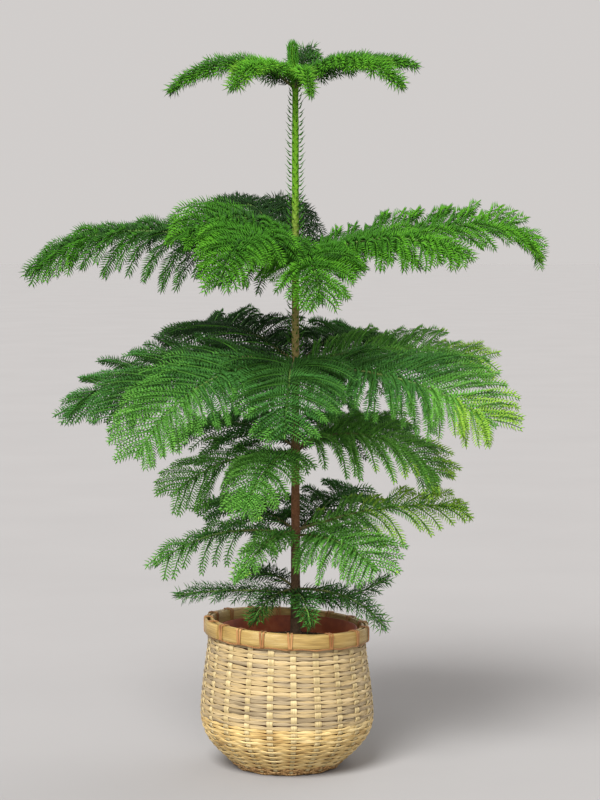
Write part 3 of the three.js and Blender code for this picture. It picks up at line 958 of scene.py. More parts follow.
crumb_radius = (SOIL_RADIUS - CRUMB_MARGIN) * np.sqrt(random.uniform(*CRUMB_AREA, CRUMBS))
crumb_heading = random.uniform(0, 2 * np.pi, CRUMBS)
crumb_size = random.uniform(*CRUMB_SIZES, CRUMBS)
dents = random.uniform(*CRUMB_DENTS, (CRUMBS, len(OCTAHEDRON), 1))
crumb_shape = OCTAHEDRON * dents * crumb_size[:, None, None]
spin = random.uniform(0, 2 * np.pi, (CRUMBS, 1))
turned_x = crumb_shape[..., 0] * np.cos(spin) - crumb_shape[..., 1] * np.sin(spin)
turned_y = crumb_shape[..., 0] * np.sin(spin) + crumb_shape[..., 1] * np.cos(spin)
crumb_height = np.interp(crumb_radius, ring_radii[::-1], ring_heights[::-1]) - CRUMB_SINK
crumb_places = np.stack([
    turned_x + (crumb_radius * np.cos(crumb_heading))[:, None],
    turned_y + (crumb_radius * np.sin(crumb_heading))[:, None],
    CRUMB_FLATNESS * crumb_shape[..., 2] + crumb_height[:, None],
], axis=2)
crumbs = joined_mesh("soil_crumbs", crumb_places, OCTAHEDRON_FACES)
bark_crumbs, *_ = mottled("bark_crumbs", CRUMB_MOTTLE, CHIPS, roughness=0.9, specular=0.2)
dress(crumbs, bark_crumbs, "soil", smooth_below=10)

# %% [markdown]
# ## The stem
# The stem is straight and slim, green and covered with leaf cushions near the top, tan in the middle, and
# red-brown to dark at its foot, where it flares into the soil. It starts as a cylinder that is cut into
# many rings; each ring then takes the stem's radius at its height, and every cushion of the leaf spiral
# pushes the skin out. The cushions are real because they show against the light along the stem's edges.

# %% The stem's rule
TRUNK_X = 0.0106
TRUNK_OUTLINE = np.array([
    [0.160, 0.0090], [0.164, 0.0072], [0.174, 0.0061], [0.330, 0.0052], [0.555, 0.0043],
    [0.774, 0.0040], [0.850, 0.0034], [0.885, 0.0022], [0.900, 0.0005],
])
TRUNK_FOOT, TRUNK_TIP = TRUNK_OUTLINE[0, 0], TRUNK_OUTLINE[-1, 0]
LEADER_BASE = 0.842
LEADER_LEAN = 0.0045
GOLDEN_ANGLE = math.radians(137.5)
CUSHION_PITCH = 0.0016
CUSHION_WIDTH = 0.0016
CUSHION_LENGTH = 0.0028
CUSHION_REACH = 4


def trunk_axis(height):
    """The middle of the stem at a height: upright, with a leader that leans a little."""
    share = np.maximum(0, (height - LEADER_BASE) / (TRUNK_TIP - LEADER_BASE))
    return np.stack([TRUNK_X - LEADER_LEAN * share, 0 * share, height + 0 * share], axis=-1)


def cushions(heading, run, radius):
    """How far the leaf cushions of a spiral push the skin out, from 0 to 1."""
    nearest = np.round(run / CUSHION_PITCH)
    relief = np.zeros_like(run)
    for step in range(-CUSHION_REACH, CUSHION_REACH + 1):
        leaf = nearest + step
        apart = np.mod(heading - leaf * GOLDEN_ANGLE + np.pi, 2 * np.pi) - np.pi
        across = apart * radius / CUSHION_WIDTH
        along = (run - leaf * CUSHION_PITCH) / CUSHION_LENGTH
        relief = np.maximum(relief, np.exp(-(across**2) - along**2))
    return relief


print("stem:", round((TRUNK_TIP - TRUNK_FOOT) * 1000), "mm tall")

# %% Stem mesh
TRUNK_SIDES = 26
TRUNK_CUTS = (99, 5)
WHORL_HEIGHTS = (0.842, 0.627, 0.500, 0.396, 0.292, 0.219)
COLLAR_LENGTH = 0.006
COLLAR_SWELL = 0.22
STEM_RELIEF = 0.13
RELIEF_BY_HEIGHT = ([0.30, 0.60], [0.35, 1.0])
RELIEF_AT_TIP = ([0.86, 0.9], [1, 0])

bpy.ops.mesh.primitive_cylinder_add(vertices=TRUNK_SIDES, radius=1, depth=1, end_fill_type="NGON")
stem = bpy.context.object
stem.name = "stem"
for cuts in TRUNK_CUTS:
    cut_rings(stem, cuts)
places = corners_of(stem)
heading = headings_of(places)
height = TRUNK_FOOT + (places[:, 2] + 0.5) * (TRUNK_TIP - TRUNK_FOOT)
radius = np.interp(height, *TRUNK_OUTLINE.T)
for whorl_height in WHORL_HEIGHTS:
    radius *= 1 + COLLAR_SWELL * np.exp(-(((height - whorl_height) / COLLAR_LENGTH) ** 2))
green_share = np.interp(height, *RELIEF_BY_HEIGHT)
relief = cushions(heading, height, radius) * green_share * np.interp(height, *RELIEF_AT_TIP)
radius = radius * (1 + STEM_RELIEF * relief)
move_corners(stem, trunk_axis(height) + places_round(radius, heading, 0 * height))
print("stem:", len(places), "corners")

# %% [markdown]
# The bark's colour follows the height on the stem, through a ramp of tones from the soil to the leader,
# and a fine mottle flakes it. A colour for each ring would do the same, but nodes keep it easy to change.

# %% Bark finish
BARK_FLAKES = 380.0
FLAKE_SHADE = 0.6
FLAKE_RELIEF = 0.0006
BARK_TONES = [
    (0.160, (0.080, 0.052, 0.030)), (0.270, (0.140, 0.080, 0.042)), (0.320, (0.240, 0.105, 0.050)),
    (0.375, (0.190, 0.105, 0.048)), (0.440, (0.170, 0.125, 0.050)), (0.540, (0.370, 0.300, 0.105)),
    (0.610, (0.290, 0.280, 0.075)), (0.665, (0.190, 0.260, 0.040)), (0.720, (0.140, 0.345, 0.015)),
    (0.860, (0.165, 0.410, 0.018)),
]

bark, tree, shader = start_material("bark", roughness=0.7, specular=0.12)
where = add_node(tree, "ShaderNodeTexCoord")
split = add_node(tree, "ShaderNodeSeparateXYZ")
tree.links.new(where.outputs["Object"], split.inputs["Vector"])
rise = add_node(tree, "ShaderNodeMapRange", {"From Min": TRUNK_FOOT, "From Max": TRUNK_TIP})
tree.links.new(split.outputs["Z"], rise.inputs["Value"])
tones = [((z - TRUNK_FOOT) / (TRUNK_TIP - TRUNK_FOOT), tone) for z, tone in BARK_TONES]
flakes = pattern(tree, MOTTLE, "Object", Scale=BARK_FLAKES)
bark_colour = shade(tree, colour_ramp(tree, rise.outputs["Result"], tones), flakes, FLAKE_SHADE)
tree.links.new(bark_colour, shader.inputs["Base Color"])
add_relief(tree, shader, flakes, FLAKE_RELIEF)
dress(stem, bark, "bark", "trunk", smooth_below=70)

# %% [markdown]
# ## Boughs by rule
# Six whorls of boughs leave the stem. Most boughs rise at first and then bend down towards the tip, so a
# heading, a length and the slopes at both ends are enough to draw one. Curves drawn by hand would give no
# better likeness and 39 shapes to keep in order. The same rule shaped the solids, in coarser steps.

# %% The whorls
# Each whorl: its name, its height, the length of its middle branchlets, how far they hang (0 flat, 1 down)
# and its boughs. Each bough: heading (0 right, 90 back, 180 left, -90 front), length, rise, droop and how
# late it bends.
WHORLS = [
    ("top", 0.842, 0.028, 0.5, [
        (176, 0.173, 46, -48, 1), (72, 0.070, 46, 38, 1), (13, 0.164, 54, -14, 0.6),
        (-30, 0.166, 42, -48, 1), (-82, 0.150, 34, -46, 1), (-124, 0.145, 38, -48, 1),
    ]),
    ("second", 0.627, 0.086, 0.72, [
        (178, 0.350, 17, -52, 2.5), (117, 0.250, 40, -10, 1.2), (98, 0.190, 42, 8, 1.2),
        (2, 0.324, 13, -76, 5.5), (-34, 0.250, 22, -26, 1.5), (-80, 0.195, 16, -52, 1.2),
        (-114, 0.245, 40, -50, 1), (-146, 0.190, 60, -42, 1),
    ]),
    ("third", 0.500, 0.094, 0.55, [
        (176, 0.306, 13, -42, 1.2), (124, 0.270, 24, -16, 1.2), (62, 0.240, 26, -22, 1.2),
        (8, 0.248, 12, -18, 1.5), (-32, 0.290, 2, -33, 1.5), (-93, 0.248, 6, -46, 1.2),
        (-131, 0.308, 8, -52, 1.3), (-157, 0.268, 12, -50, 1.3),
    ]),
    ("fourth", 0.396, 0.080, 0.60, [
        (190, 0.168, 3, -44, 1.2), (136, 0.198, 22, -20, 1.2), (48, 0.204, 22, -12, 1.2),
        (-10, 0.200, 29, -53, 1), (-110, 0.194, 4, -46, 1.2),
    ]),
    ("fifth", 0.292, 0.070, 0.65, [
        (-168, 0.187, 14, -40, 1.2), (128, 0.184, 20, -12, 1.2), (62, 0.180, 24, 0, 1.2),
        (3, 0.218, 18, -10, 1.5), (-52, 0.164, 8, -30, 1.2), (-114, 0.180, 4, -34, 1.2),
    ]),
    ("lowest", 0.219, 0.026, 0.40, [
        (182, 0.150, 7, -8, 1), (130, 0.112, 26, -22, 1), (16, 0.128, -20, 36, 1),
        (-18, 0.132, 2, -56, 1.5), (-80, 0.112, 12, -42, 1.2), (-130, 0.092, 4, -52, 1.2),
    ]),
]
print("boughs:", sum(len(boughs) for *_, boughs in WHORLS))

# %% Bough lines
UP = np.array([0.0, 0.0, 1.0])
BOUGH_STEPS = 48
WHORL_STAGGER = 0.003


def bough_ways(bough, shares):
    """The way a bough runs at shares of its length."""
    heading, _, rise, droop, bend = bough
    slope = np.radians(rise + (droop - rise) * shares**bend)
    flat = np.cos(slope)
    turn = math.radians(heading)
    return np.stack([flat * math.cos(turn), flat * math.sin(turn), np.sin(slope)], axis=1)


def bough_line(whorl_height, number, bough):
    """Points along a bough's middle, from inside the stem to its tip."""
    shares = np.linspace(0, 1, BOUGH_STEPS + 1)
    steps = bough_ways(bough, (shares[1:] + shares[:-1]) / 2) * bough[1] / BOUGH_STEPS
    start = trunk_axis(whorl_height + (WHORL_STAGGER if number % 2 else -WHORL_STAGGER))
    return start + np.vstack([np.zeros(3), np.cumsum(steps, axis=0)])


whorl_lines = {
    name: np.array([bough_line(height, number, bough) for number, bough in enumerate(boughs)])
    for name, height, _, _, boughs in WHORLS
}
print("longest bough:", max(bough[1] for *_, boughs in WHORLS for bough in boughs), "m")

# %% Tubes along lines
NEARLY_UPRIGHT = 1e-3


def line_ways(lines):
    """The way each line runs at each of its points."""
    return unit(np.gradient(lines, axis=1))


def across_and_over(ways):
    """Two directions square to the ways: one level, one above it."""
    level = np.cross(ways, UP)
    level[np.linalg.norm(level, axis=-1) < NEARLY_UPRIGHT] = np.array([1.0, 0.0, 0.0])
    level = unit(level)
    return level, unit(np.cross(level, ways))


def tube_faces(rings, sides):
    """The triangles of one closed tube."""
    faces = []
    for ring in range(rings - 1):
        for side in range(sides):
            a, b = ring * sides + side, ring * sides + (side + 1) % sides
            faces += [[a, b, b + sides], [a, b + sides, a + sides]]
    last = (rings - 1) * sides
    for side in range(1, sides - 1):
        faces += [[0, side + 1, side], [last, last + side, last + side + 1]]
    return np.array(faces)


def tubes(name, lines, radii, sides):
    """One mesh of tubes along lines, with a radius for each point or for each corner round it."""
    level, over = across_and_over(line_ways(lines))
    turn = 2 * np.pi * np.arange(sides) / sides
    out = (
        level[:, :, None] * np.cos(turn)[None, None, :, None]
        + over[:, :, None] * np.sin(turn)[None, None, :, None]
    )
    skin = lines[:, :, None] + out * radii[..., None]
    corners = skin.reshape(len(lines), -1, 3)
    return joined_mesh(name, corners, tube_faces(lines.shape[1], sides))


print("tube helpers ready")

# %% [markdown]
# A bough's own bark is ridged by the bases of its needles, like the stem's. Near the stem it is brown, and
# it turns green towards the tip. The share of its length is kept on the mesh as an attribute, which the
# finish can read whichever way the bough points.

# %% Bough meshes
BOUGH_SIDES = 8
BOUGH_RINGS = 110
BOUGH_BASE_RADIUS = 0.0011
BOUGH_RADIUS_PER_LENGTH = 0.0036
BOUGH_TIP_RADIUS = 0.0008
BOUGH_RELIEF = 0.25


def along_bough(line, shares):
    """Points at shares of a bough's length."""
    places = np.linspace(0, 1, BOUGH_STEPS + 1)
    return np.stack([np.interp(shares, places, axis) for axis in line.T], axis=1)


def bough_tubes():
    """All the boughs as tubes with leaf cushions."""
    share = np.linspace(0, 1, BOUGH_RINGS)
    sides = 2 * np.pi * np.arange(BOUGH_SIDES) / BOUGH_SIDES
    turn = np.broadcast_to(sides, (BOUGH_RINGS, BOUGH_SIDES))
    lines, radii = [], []
    for name, _, _, _, boughs in WHORLS:
        for line, bough in zip(whorl_lines[name], boughs):
            lines.append(along_bough(line, share))
            base = BOUGH_BASE_RADIUS + BOUGH_RADIUS_PER_LENGTH * bough[1]
            radius = (base + (BOUGH_TIP_RADIUS - base) * share)[:, None]
            run = np.broadcast_to((share * bough[1])[:, None], turn.shape)
            radii.append(radius * (1 + BOUGH_RELIEF * cushions(turn, run, radius)))
    return tubes("boughs", np.array(lines), np.array(radii), BOUGH_SIDES)


boughs_piece = bough_tubes()
ring_share = np.repeat(np.linspace(0, 1, BOUGH_RINGS), BOUGH_SIDES)
bough_count = len(boughs_piece.data.vertices) // len(ring_share)
share_attribute = boughs_piece.data.attributes.new("share", "FLOAT", "POINT")
share_attribute.data.foreach_set("value", np.tile(ring_share, bough_count).astype(np.float32))
print("boughs:", bough_count)

# %% Finish of the boughs
BOUGH_TONES = [
    (0.0, (0.14, 0.10, 0.04)), (0.2, (0.14, 0.15, 0.04)),
    (0.6, (0.11, 0.21, 0.04)), (1.0, (0.12, 0.29, 0.045)),
]
BOUGH_RIDGES = 420.0
RIDGE_SHADE = 0.7
RIDGE_RELIEF = 0.0004

green_bark, tree, shader = start_material("green_bark", roughness=0.6, specular=0.3)
along = add_node(tree, "ShaderNodeAttribute", attribute_name="share")
ridges = pattern(tree, MOTTLE, "Object", Scale=BOUGH_RIDGES)
colour = shade(tree, colour_ramp(tree, along.outputs["Fac"], BOUGH_TONES), ridges, RIDGE_SHADE)
tree.links.new(colour, shader.inputs["Base Color"])
add_relief(tree, shader, ridges, RIDGE_RELIEF)
bough_nodes = [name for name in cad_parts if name.startswith("bough_")]
dress(boughs_piece, green_bark, "bark", *bough_nodes, smooth_below=70)

# %% [markdown]
# ## Branchlets and needles
# Every bough bears two rows of slim branchlets, about a centimetre apart, which lift a little and then
# hang. They follow one rule with a little chance in it, because hair or scattered copies would not keep
# the two flat rows. Lengths, spacing and hang differ from whorl to whorl, and many boughs have habits of
# their own, such as a weak one in the shade.

# %% Habits of whorls and boughs
# A habit is a factor on the whorl's own value, apart from light and youth, which are added to its light.
BRANCHLET_PITCHES = {
    "top": 0.0095, "second": 0.0108, "third": 0.0100, "fourth": 0.0108, "fifth": 0.0122, "lowest": 0.0125,
}
TIP_RELIEF = {"top": 0.3, "second": 0.0, "third": 0.5, "fourth": 0.45, "fifth": 0.4, "lowest": 0.3}
DWINDLE_POWER = {"top": 3, "second": 2.3, "third": 4, "fourth": 4, "fifth": 4, "lowest": 4}
# A bough's light is painted light where it is above zero, and painted shade where it is below zero.
BOUGH_HABITS = {
    ("top", 4): {"vigour": 0.35},
    ("second", 0): {"vigour": 1.2, "pitch": 0.95, "light": 0.04},
    ("second", 1): {"vigour": 0.8, "pitch": 1.45, "light": -0.16},
    ("second", 2): {"vigour": 0.8, "pitch": 1.6, "light": -0.16},
    ("second", 3): {"vigour": 1.12, "pitch": 0.98, "hang": 0.5, "light": 0.32},
    ("second", 4): {"light": 0.14},
    ("second", 5): {"pitch": 0.88, "hang": 0.75, "light": -0.04},
    ("second", 6): {"pitch": 0.85, "hang": 0.75, "light": -0.10},
    ("second", 7): {"pitch": 0.85, "hang": 0.75, "light": -0.06},
    ("third", 0): {"hang": 0.8},
    ("third", 2): {"light": 0.34},
    ("third", 3): {"pitch": 1.2, "light": 0.92, "youth": 0.20},
    ("third", 4): {"vigour": 1.22, "pitch": 0.70, "hang": 0.95, "light": 0.12, "youth": 0.85},
    ("third", 5): {"pitch": 0.76, "light": -0.20},
    ("third", 6): {"pitch": 0.86, "light": 0.10, "youth": 0.30},
    ("third", 7): {"light": -0.14},
    ("fourth", 0): {"pitch": 1.15, "light": 0.24},
    ("fourth", 1): {"light": 0.14},
    ("fourth", 3): {"vigour": 1.12, "pitch": 0.82, "light": 0.52},
    ("fourth", 4): {"vigour": 0.75},
    ("fifth", 0): {"vigour": 0.88, "pitch": 1.6, "hang": 1.7},
    ("fifth", 3): {"pitch": 1.12, "light": 0.78},
    ("fifth", 4): {"vigour": 1.12, "pitch": 0.85},
    ("fifth", 5): {"vigour": 0.40},
    ("lowest", 4): {"vigour": 0.8, "pitch": 0.8, "light": -0.46},
    ("lowest", 5): {"vigour": 0.9, "pitch": 0.8, "light": -0.40},
}


def habit(name, number, trait, usual):
    """A bough's own value for a trait, or the usual one."""
    return BOUGH_HABITS.get((name, number), {}).get(trait, usual)


print("boughs with habits of their own:", len(BOUGH_HABITS))

# %% Sagging lines
BRANCHLET_STEPS = 8
BRANCHLET_SAG = 1.2
STEEPEST_SAG = 0.95


def drooping(root, way, length, hang):
    """Lines that set out along their way and sag more and more towards their tips."""
    points = [root]
    for step in range(BRANCHLET_STEPS):
        share = (step + 0.5) / BRANCHLET_STEPS
        sag = np.minimum(STEEPEST_SAG, hang * share**BRANCHLET_SAG)[:, None]
        run = unit(way * (1 - sag) - UP * sag)
        points.append(points[-1] + run * (length / BRANCHLET_STEPS)[:, None])
    return np.stack(points, axis=1)


print("steps along a branchlet:", BRANCHLET_STEPS)

# %% Branchlet lines
# Branchlets that point to the back lift, and those that point to the front hang, by the facing values.
BRANCHLET_START = 0.020
BRANCHLET_END = 0.965
FEWEST_PAIRS = 3
HAND_SHIFT = 0.25
PLACE_SCATTER = 0.2
ANGLE_AT_BASE = 66
ANGLE_AT_TIP = 44
ANGLE_SCATTER = 5
BRANCHLET_LIFT = (0.0, 0.40)
FACING_FRONT = 0.42
FACING_BACK = 0.26
LENGTH_BESIDE_STEM = 0.58
LENGTH_GROWTH = 1.6
LENGTH_DWINDLE = 0.78
LENGTH_SCATTER = (0.86, 1.06)
HANG_SCATTER = (0.85, 1.1)


def branchlet_row(name, number, bough, hand, spray, hang):
    """Lines of the branchlets on one side of a bough, and the share of its length where each sits."""
    pitch = BRANCHLET_PITCHES[name] * habit(name, number, "pitch", 1)
    pairs = max(FEWEST_PAIRS, int((BRANCHLET_END * bough[1] - BRANCHLET_START) / pitch))
    start = BRANCHLET_START / bough[1]
    scatter = random.uniform(-PLACE_SCATTER, PLACE_SCATTER, pairs)
    step = (np.arange(pairs) + 0.5 + HAND_SHIFT * hand + scatter) / pairs
    share = start + (BRANCHLET_END - start) * step
    way = bough_ways(bough, share)
    level, over = across_and_over(way)
    spread = ANGLE_AT_BASE + (ANGLE_AT_TIP - ANGLE_AT_BASE) * share
    angle = np.radians(spread + random.normal(0, ANGLE_SCATTER, pairs))[:, None]
    behind = hand * level[:, 1]
    facing = np.where(behind > 0, FACING_BACK, FACING_FRONT) * behind
    lift = random.uniform(*BRANCHLET_LIFT, pairs) + facing
    lean = way * np.cos(angle) + hand * level * np.sin(angle) + lift[:, None] * over
    growth = np.minimum(1, LENGTH_BESIDE_STEM + LENGTH_GROWTH * share)
    vigour = spray * habit(name, number, "vigour", 1) * random.uniform(*LENGTH_SCATTER, pairs)
    length = vigour * growth * (1 - LENGTH_DWINDLE * share ** DWINDLE_POWER[name])
    sagging = hang * habit(name, number, "hang", 1) * random.uniform(*HANG_SCATTER, pairs)
    sagging = sagging * (1 - TIP_RELIEF[name] * share)
    root = along_bough(whorl_lines[name][number], share)
    return drooping(root, unit(lean), length, sagging), share


def branchlets(name, spray, hang, boughs):
    """Lines of all the branchlets of a whorl, with the bough and the share of it where each one sits."""
    lines, numbers, places = [], [], []
    for number, bough in enumerate(boughs):
        for hand in (-1, 1):
            row, shares = branchlet_row(name, number, bough, hand, spray, hang)
            lines.append(row)
            numbers.append(np.full(len(row), number))
            places.append(shares)
    return np.vstack(lines), np.concatenate(numbers), np.concatenate(places)


print("branchlets stand", BRANCHLET_PITCHES, "m apart")

# %% [markdown]
# A branchlet is a green twig with rings of short needles all round it. On the lower whorls the rings
# nearly line up, so the needles stand in ranks like the teeth of a comb. On the top whorl and the stem
# each ring is turned half a step from the last, which gives a full brush. A needle is a spindle of six
# triangles: a point at its root, three corners at its thickest and a point at its tip, bent in the
# middle. Flat blades would be cheaper, but they vanish when they are seen edge on.

# %% Places for needles
RING_PLACES = (0.4, 0.6)


def needle_places(lines, pitch, ranks, first):
    """For each needle its line, its ring, its rank in the ring and its share of the line."""
    runs = np.linalg.norm(np.diff(lines, axis=1), axis=2).sum(axis=1)
    rings = np.maximum(2, ((1 - first) * runs / pitch).astype(int))
    counts = rings * ranks
    owner = np.repeat(np.arange(len(lines)), counts)
    number = np.arange(len(owner)) - np.repeat(np.cumsum(counts) - counts, counts)
    ring, rank = number // ranks, number % ranks
    share = first + (1 - first) * (ring + random.uniform(*RING_PLACES, len(owner))) / rings[owner]
    return owner, ring, rank, share


def points_and_ways(lines, owner, share):
    """The point on its line where each needle sits, and the way that the line runs there."""
    position = share * (lines.shape[1] - 1)
    before = np.minimum(position.astype(int), lines.shape[1] - 2)
    mix = (position - before)[:, None]
    start, end = lines[owner, before], lines[owner, before + 1]
    return start * (1 - mix) + end * mix, unit(end - start)


print("needle places ready")

# %% Needles along lines
# Each brush: the needles' length, pitch of rings, width, angle at root, angle at tip, number in a ring,
# and how far a ring is turned from the last one, as a share of the step between needles.
BRUSHES = {
    "top": (0.0122, 0.0026, 0.0016, 68, 44, 5, 0.5),
    "second": (0.0112, 0.0031, 0.0018, 75, 54, 4, 0.08),
    "third": (0.0086, 0.0036, 0.0019, 78, 58, 4, 0.05),
    "fourth": (0.0090, 0.0037, 0.0021, 70, 50, 4, 0.05),
    "fifth": (0.0090, 0.0037, 0.0021, 70, 50, 4, 0.05),
    "lowest": (0.0116, 0.0036, 0.0015, 64, 44, 4, 0.1),
    "stem": (0.0125, 0.0052, 0.0021, 78, 42, 5, 0.5),
    "leader": (0.0110, 0.0014, 0.0018, 54, 20, 8, 0.5),
}
RANK_SCATTER = 0.1
CLOSING_FROM = 0.8
CLOSING_RUN = 0.2
CLOSING_ANGLE = 30
CLOSING_SHRINK = 0.35
NEEDLE_ANGLE_SCATTER = 3
NEEDLE_SIZES = (0.92, 1.06)
NEEDLE_BEND = 0.34
WAIST_CORNERS = np.radians([90, 210, 330])
NEEDLE_FACES = np.array([[2, 1, 0], [3, 2, 0], [1, 3, 0], [1, 2, 4], [2, 3, 4], [3, 1, 4]])


def needles_on(lines, radius, brush, first=0.0):
    """Corners of the needles in rings along lines, with each one's line, share of it and lift."""
    length, pitch, width, angle_at_root, angle_at_tip, ranks, twist = brush
    owner, ring, rank, share = needle_places(lines, pitch, ranks, first)
    point, way = points_and_ways(lines, owner, share)
    level, over = across_and_over(way)
    scatter = random.uniform(-RANK_SCATTER, RANK_SCATTER, len(owner))
    turn = 2 * np.pi * (rank + twist * ring + scatter)[:, None] / ranks
    out = level * np.cos(turn) + over * np.sin(turn)
    closing = np.clip((share - CLOSING_FROM) / CLOSING_RUN, 0, 1)
    scatter = random.normal(0, NEEDLE_ANGLE_SCATTER, len(owner))
    open_angle = np.radians(angle_at_root - CLOSING_ANGLE * closing + scatter)[:, None]
    close_angle = open_angle - np.radians(angle_at_root - angle_at_tip)
    size = (length * (1 - CLOSING_SHRINK * closing) * random.uniform(*NEEDLE_SIZES, len(owner)))[:, None]
    root = point + out * radius
    lower = way * np.cos(open_angle) + out * np.sin(open_angle)
    upper = way * np.cos(close_angle) + out * np.sin(close_angle)
    middle = root + lower * size * NEEDLE_BEND
    tip = middle + upper * size * (1 - NEEDLE_BEND)
    broad = unit(np.cross(lower, out))
    deep = np.cross(lower, broad)
    waist = [
        middle + width / 2 * (broad * math.cos(corner) + deep * math.sin(corner))
        for corner in WAIST_CORNERS
    ]
    return np.stack([root, *waist, tip], axis=1), owner, share, out[:, 2]


print("needle:", len(NEEDLE_FACES), "triangles")

# %% [markdown]
# New growth is yellow-green, older needles are a deeper green and those low in the shade are bluish. The
# colours are dealt out spray by spray and needle by needle: each tint is a plain material with only a
# faint mottle, and the needles of a whorl that share a tint become one piece. Alongside the needles' age,
# the tints
# carry painted light and shade: lighter on the plant's front, further out, towards the tips and on needles
# that point up; darker at the back, near the stem, on needles that point down and on the boughs' own
# needles.
# A colour for every needle is possible too, but a few clear tints are easier to judge against a real
# plant.

# %% Needle tints
TINTS = {
    "deep": (0.013, 0.043, 0.009),
    "dark": (0.025, 0.089, 0.012),
    "cool": (0.041, 0.150, 0.025),
    "mid": (0.039, 0.155, 0.009),
    "soft": (0.084, 0.256, 0.034),
    "bright": (0.080, 0.270, 0.014),
    "young": (0.120, 0.300, 0.018),
    "pale": (0.122, 0.330, 0.046),
    "fresh": (0.260, 0.470, 0.050),
}
TWIG_TINTS = {"young": (0.045, 0.150, 0.012), "old": (0.052, 0.165, 0.020)}
NEEDLE_DARKER = 0.85
NEEDLE_LIGHTER = 1.12
NEEDLE_BLOOM = 70.0


def needle_finish(tint, colour):
    """A plain green with a faint mottle and a dull wax."""
    ends = [(0.0, toned(colour, NEEDLE_DARKER)), (1.0, toned(colour, NEEDLE_LIGHTER))]
    material, *_ = mottled(f"{tint}_needles", NEEDLE_BLOOM, ends, roughness=0.6, specular=0.12)
    return material


needle_finishes = {tint: needle_finish(tint, colour) for tint, colour in TINTS.items()}
twig_finishes = {age: needle_finish(f"{age}_twig", colour) for age, colour in TWIG_TINTS.items()}
print("tints:", ", ".join(TINTS))

# %% Dealing out the tints
WHORL_LIGHT = {
    "top": 0.18, "second": -0.02, "third": -0.09, "fourth": 0.30, "fifth": 0.40, "lowest": 0.12,
}
COOL_WHORLS = ("third", "fourth", "fifth", "lowest")
# Painted light on boughs that face the front, and painted shade on those at the back.
FRONT_PAINTED_LIGHT = 0.34
# Lighter further out along a bough: partly older needles near the stem, partly painted shade inside the
# crown.
OUTER_AGE_AND_PAINTED_LIGHT = 0.46
# Lighter towards a branchlet's tip: partly young growth, partly painted light.
TIP_YOUTH_AND_PAINTED_LIGHT = 0.40
# Painted light on needles that point up, and painted shade on those that point down.
UPPER_PAINTED_LIGHT = 0.12
# Painted shade on the needles along the boughs' own axes.
AXIS_PAINTED_SHADE = 0.22
YOUTH_FROM = 0.55
YOUTH_RUN = 0.25
TINT_LEVELS = (0.20, 0.42, 0.72, 1.08, 1.50)
SPRAY_SCATTER = 0.10


def branchlet_light(name, boughs, numbers, places):
    """How light each branchlet's green is: lighter further out and on young wood, with painted light on
    the plant's front and painted shade at its back.
    """
    light = np.zeros(len(numbers))
    new_wood = np.clip((places - YOUTH_FROM) / YOUTH_RUN, 0, 1)
    for number, bough in enumerate(boughs):
        front = -math.sin(math.radians(bough[0]))
        youth = habit(name, number, "youth", 0) * new_wood
        # The bough's light habit adds painted light above zero and painted shade below zero.
        own = WHORL_LIGHT[name] + habit(name, number, "light", 0)
        # The front term is painted light at the plant's front and painted shade at its back.
        # The outer term is partly the needles' age and partly painted shade near the stem.
        here = own + FRONT_PAINTED_LIGHT * front + OUTER_AGE_AND_PAINTED_LIGHT * places + youth
        light = np.where(numbers == number, here, light)
    return light + random.uniform(-SPRAY_SCATTER, SPRAY_SCATTER, len(numbers))


def tints_for(name, light):
    """The tint for each value of light."""
    lighter = ["cool", "soft", "pale"] if name in COOL_WHORLS else ["mid", "bright", "young"]
    return np.array(["deep", "dark", *lighter, "fresh"])[np.searchsorted(TINT_LEVELS, light)]


print("light by whorl:", WHORL_LIGHT)

# %% Twigs of a whorl
BRANCHLET_RADIUS = 0.0009
TWIG_TAPER = 0.55
TWIG_SIDES = 3


def whorl_twigs(name, lines, nodes):
    """The branchlets' twigs, as one piece that tapers along every line."""
    taper = np.linspace(1, TWIG_TAPER, BRANCHLET_STEPS + 1) * BRANCHLET_RADIUS
    radii = np.broadcast_to(taper[None, :, None], (*lines.shape[:2], TWIG_SIDES))
    twigs = tubes(f"twigs_{name}", lines, radii, TWIG_SIDES)
    finish = twig_finishes["old" if name in COOL_WHORLS else "young"]
    dress(twigs, finish, "needles", *nodes, smooth_below=80)


print("twig:", 2 * BRANCHLET_RADIUS * 1000, "mm thick at its root")

# %% Foliage of every whorl
BOUGH_NEEDLES_FROM = 0.06

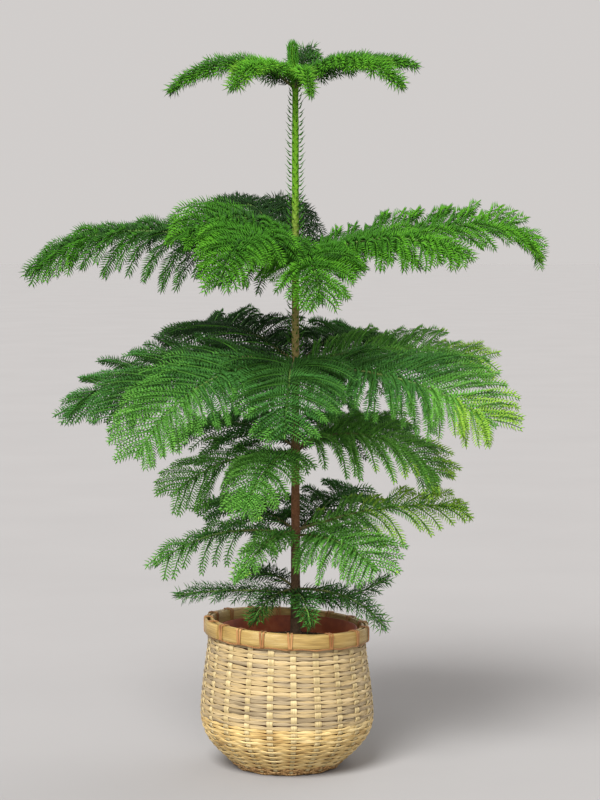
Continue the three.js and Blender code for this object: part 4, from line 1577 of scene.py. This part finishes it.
for name, _, spray, hang, boughs in WHORLS:
    nodes = [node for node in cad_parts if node.startswith(f"foliage_{name}_")]
    lines, numbers, places = branchlets(name, spray, hang, boughs)
    whorl_twigs(name, lines, nodes)
    brush, owner, share, lift = needles_on(lines, BRANCHLET_RADIUS / 2, BRUSHES[name])
    light = branchlet_light(name, boughs, numbers, places)[owner]
    # Needles that point up get painted light, and those that point down get painted shade.
    # Tips get lighter from young growth and from painted light.
    light = light + TIP_YOUTH_AND_PAINTED_LIGHT * share**2 + UPPER_PAINTED_LIGHT * lift
    bough_brush, bough_owner, bough_share, bough_lift = needles_on(
        whorl_lines[name], BOUGH_TIP_RADIUS, BRUSHES[name], first=BOUGH_NEEDLES_FROM
    )
    bough_light = branchlet_light(name, boughs, bough_owner, bough_share)
    # The bough's own needles get painted shade, and painted light where they point up.
    bough_light = bough_light + UPPER_PAINTED_LIGHT * bough_lift - AXIS_PAINTED_SHADE
    brush = np.concatenate([brush, bough_brush])
    tint = tints_for(name, np.concatenate([light, bough_light]))
    for colour in np.unique(tint):
        needles = joined_mesh(f"needles_{name}_{colour}", brush[tint == colour], NEEDLE_FACES)
        dress(needles, needle_finishes[colour], "needles", *nodes, smooth_below=180)

# %% [markdown]
# The upper stem bears needles of its own, which curve upwards and close into a tuft at the leader's tip.
# The same rule sets them, along the stem's own line.

# %% Needles on the stem
STEM_NEEDLES_FROM = 0.505
STEM_SKIN = 0.0036
STEM_POINTS = 80
TUFT_FROM = 0.864
TUFT_TO = TRUNK_TIP - 0.006
TUFT_SKIN = 0.0022
TUFT_POINTS = 20

stem_heights = np.linspace(STEM_NEEDLES_FROM, TUFT_FROM, STEM_POINTS)
stem_brush, *_ = needles_on(trunk_axis(stem_heights)[None], STEM_SKIN, BRUSHES["stem"])
tuft_heights = np.linspace(TUFT_FROM, TUFT_TO, TUFT_POINTS)
tuft_brush, *_ = needles_on(trunk_axis(tuft_heights)[None], TUFT_SKIN, BRUSHES["leader"])
stem_needles = joined_mesh("needles_stem", np.concatenate([stem_brush, tuft_brush]), NEEDLE_FACES)
dress(stem_needles, needle_finishes["mid"], "needles", smooth_below=180)
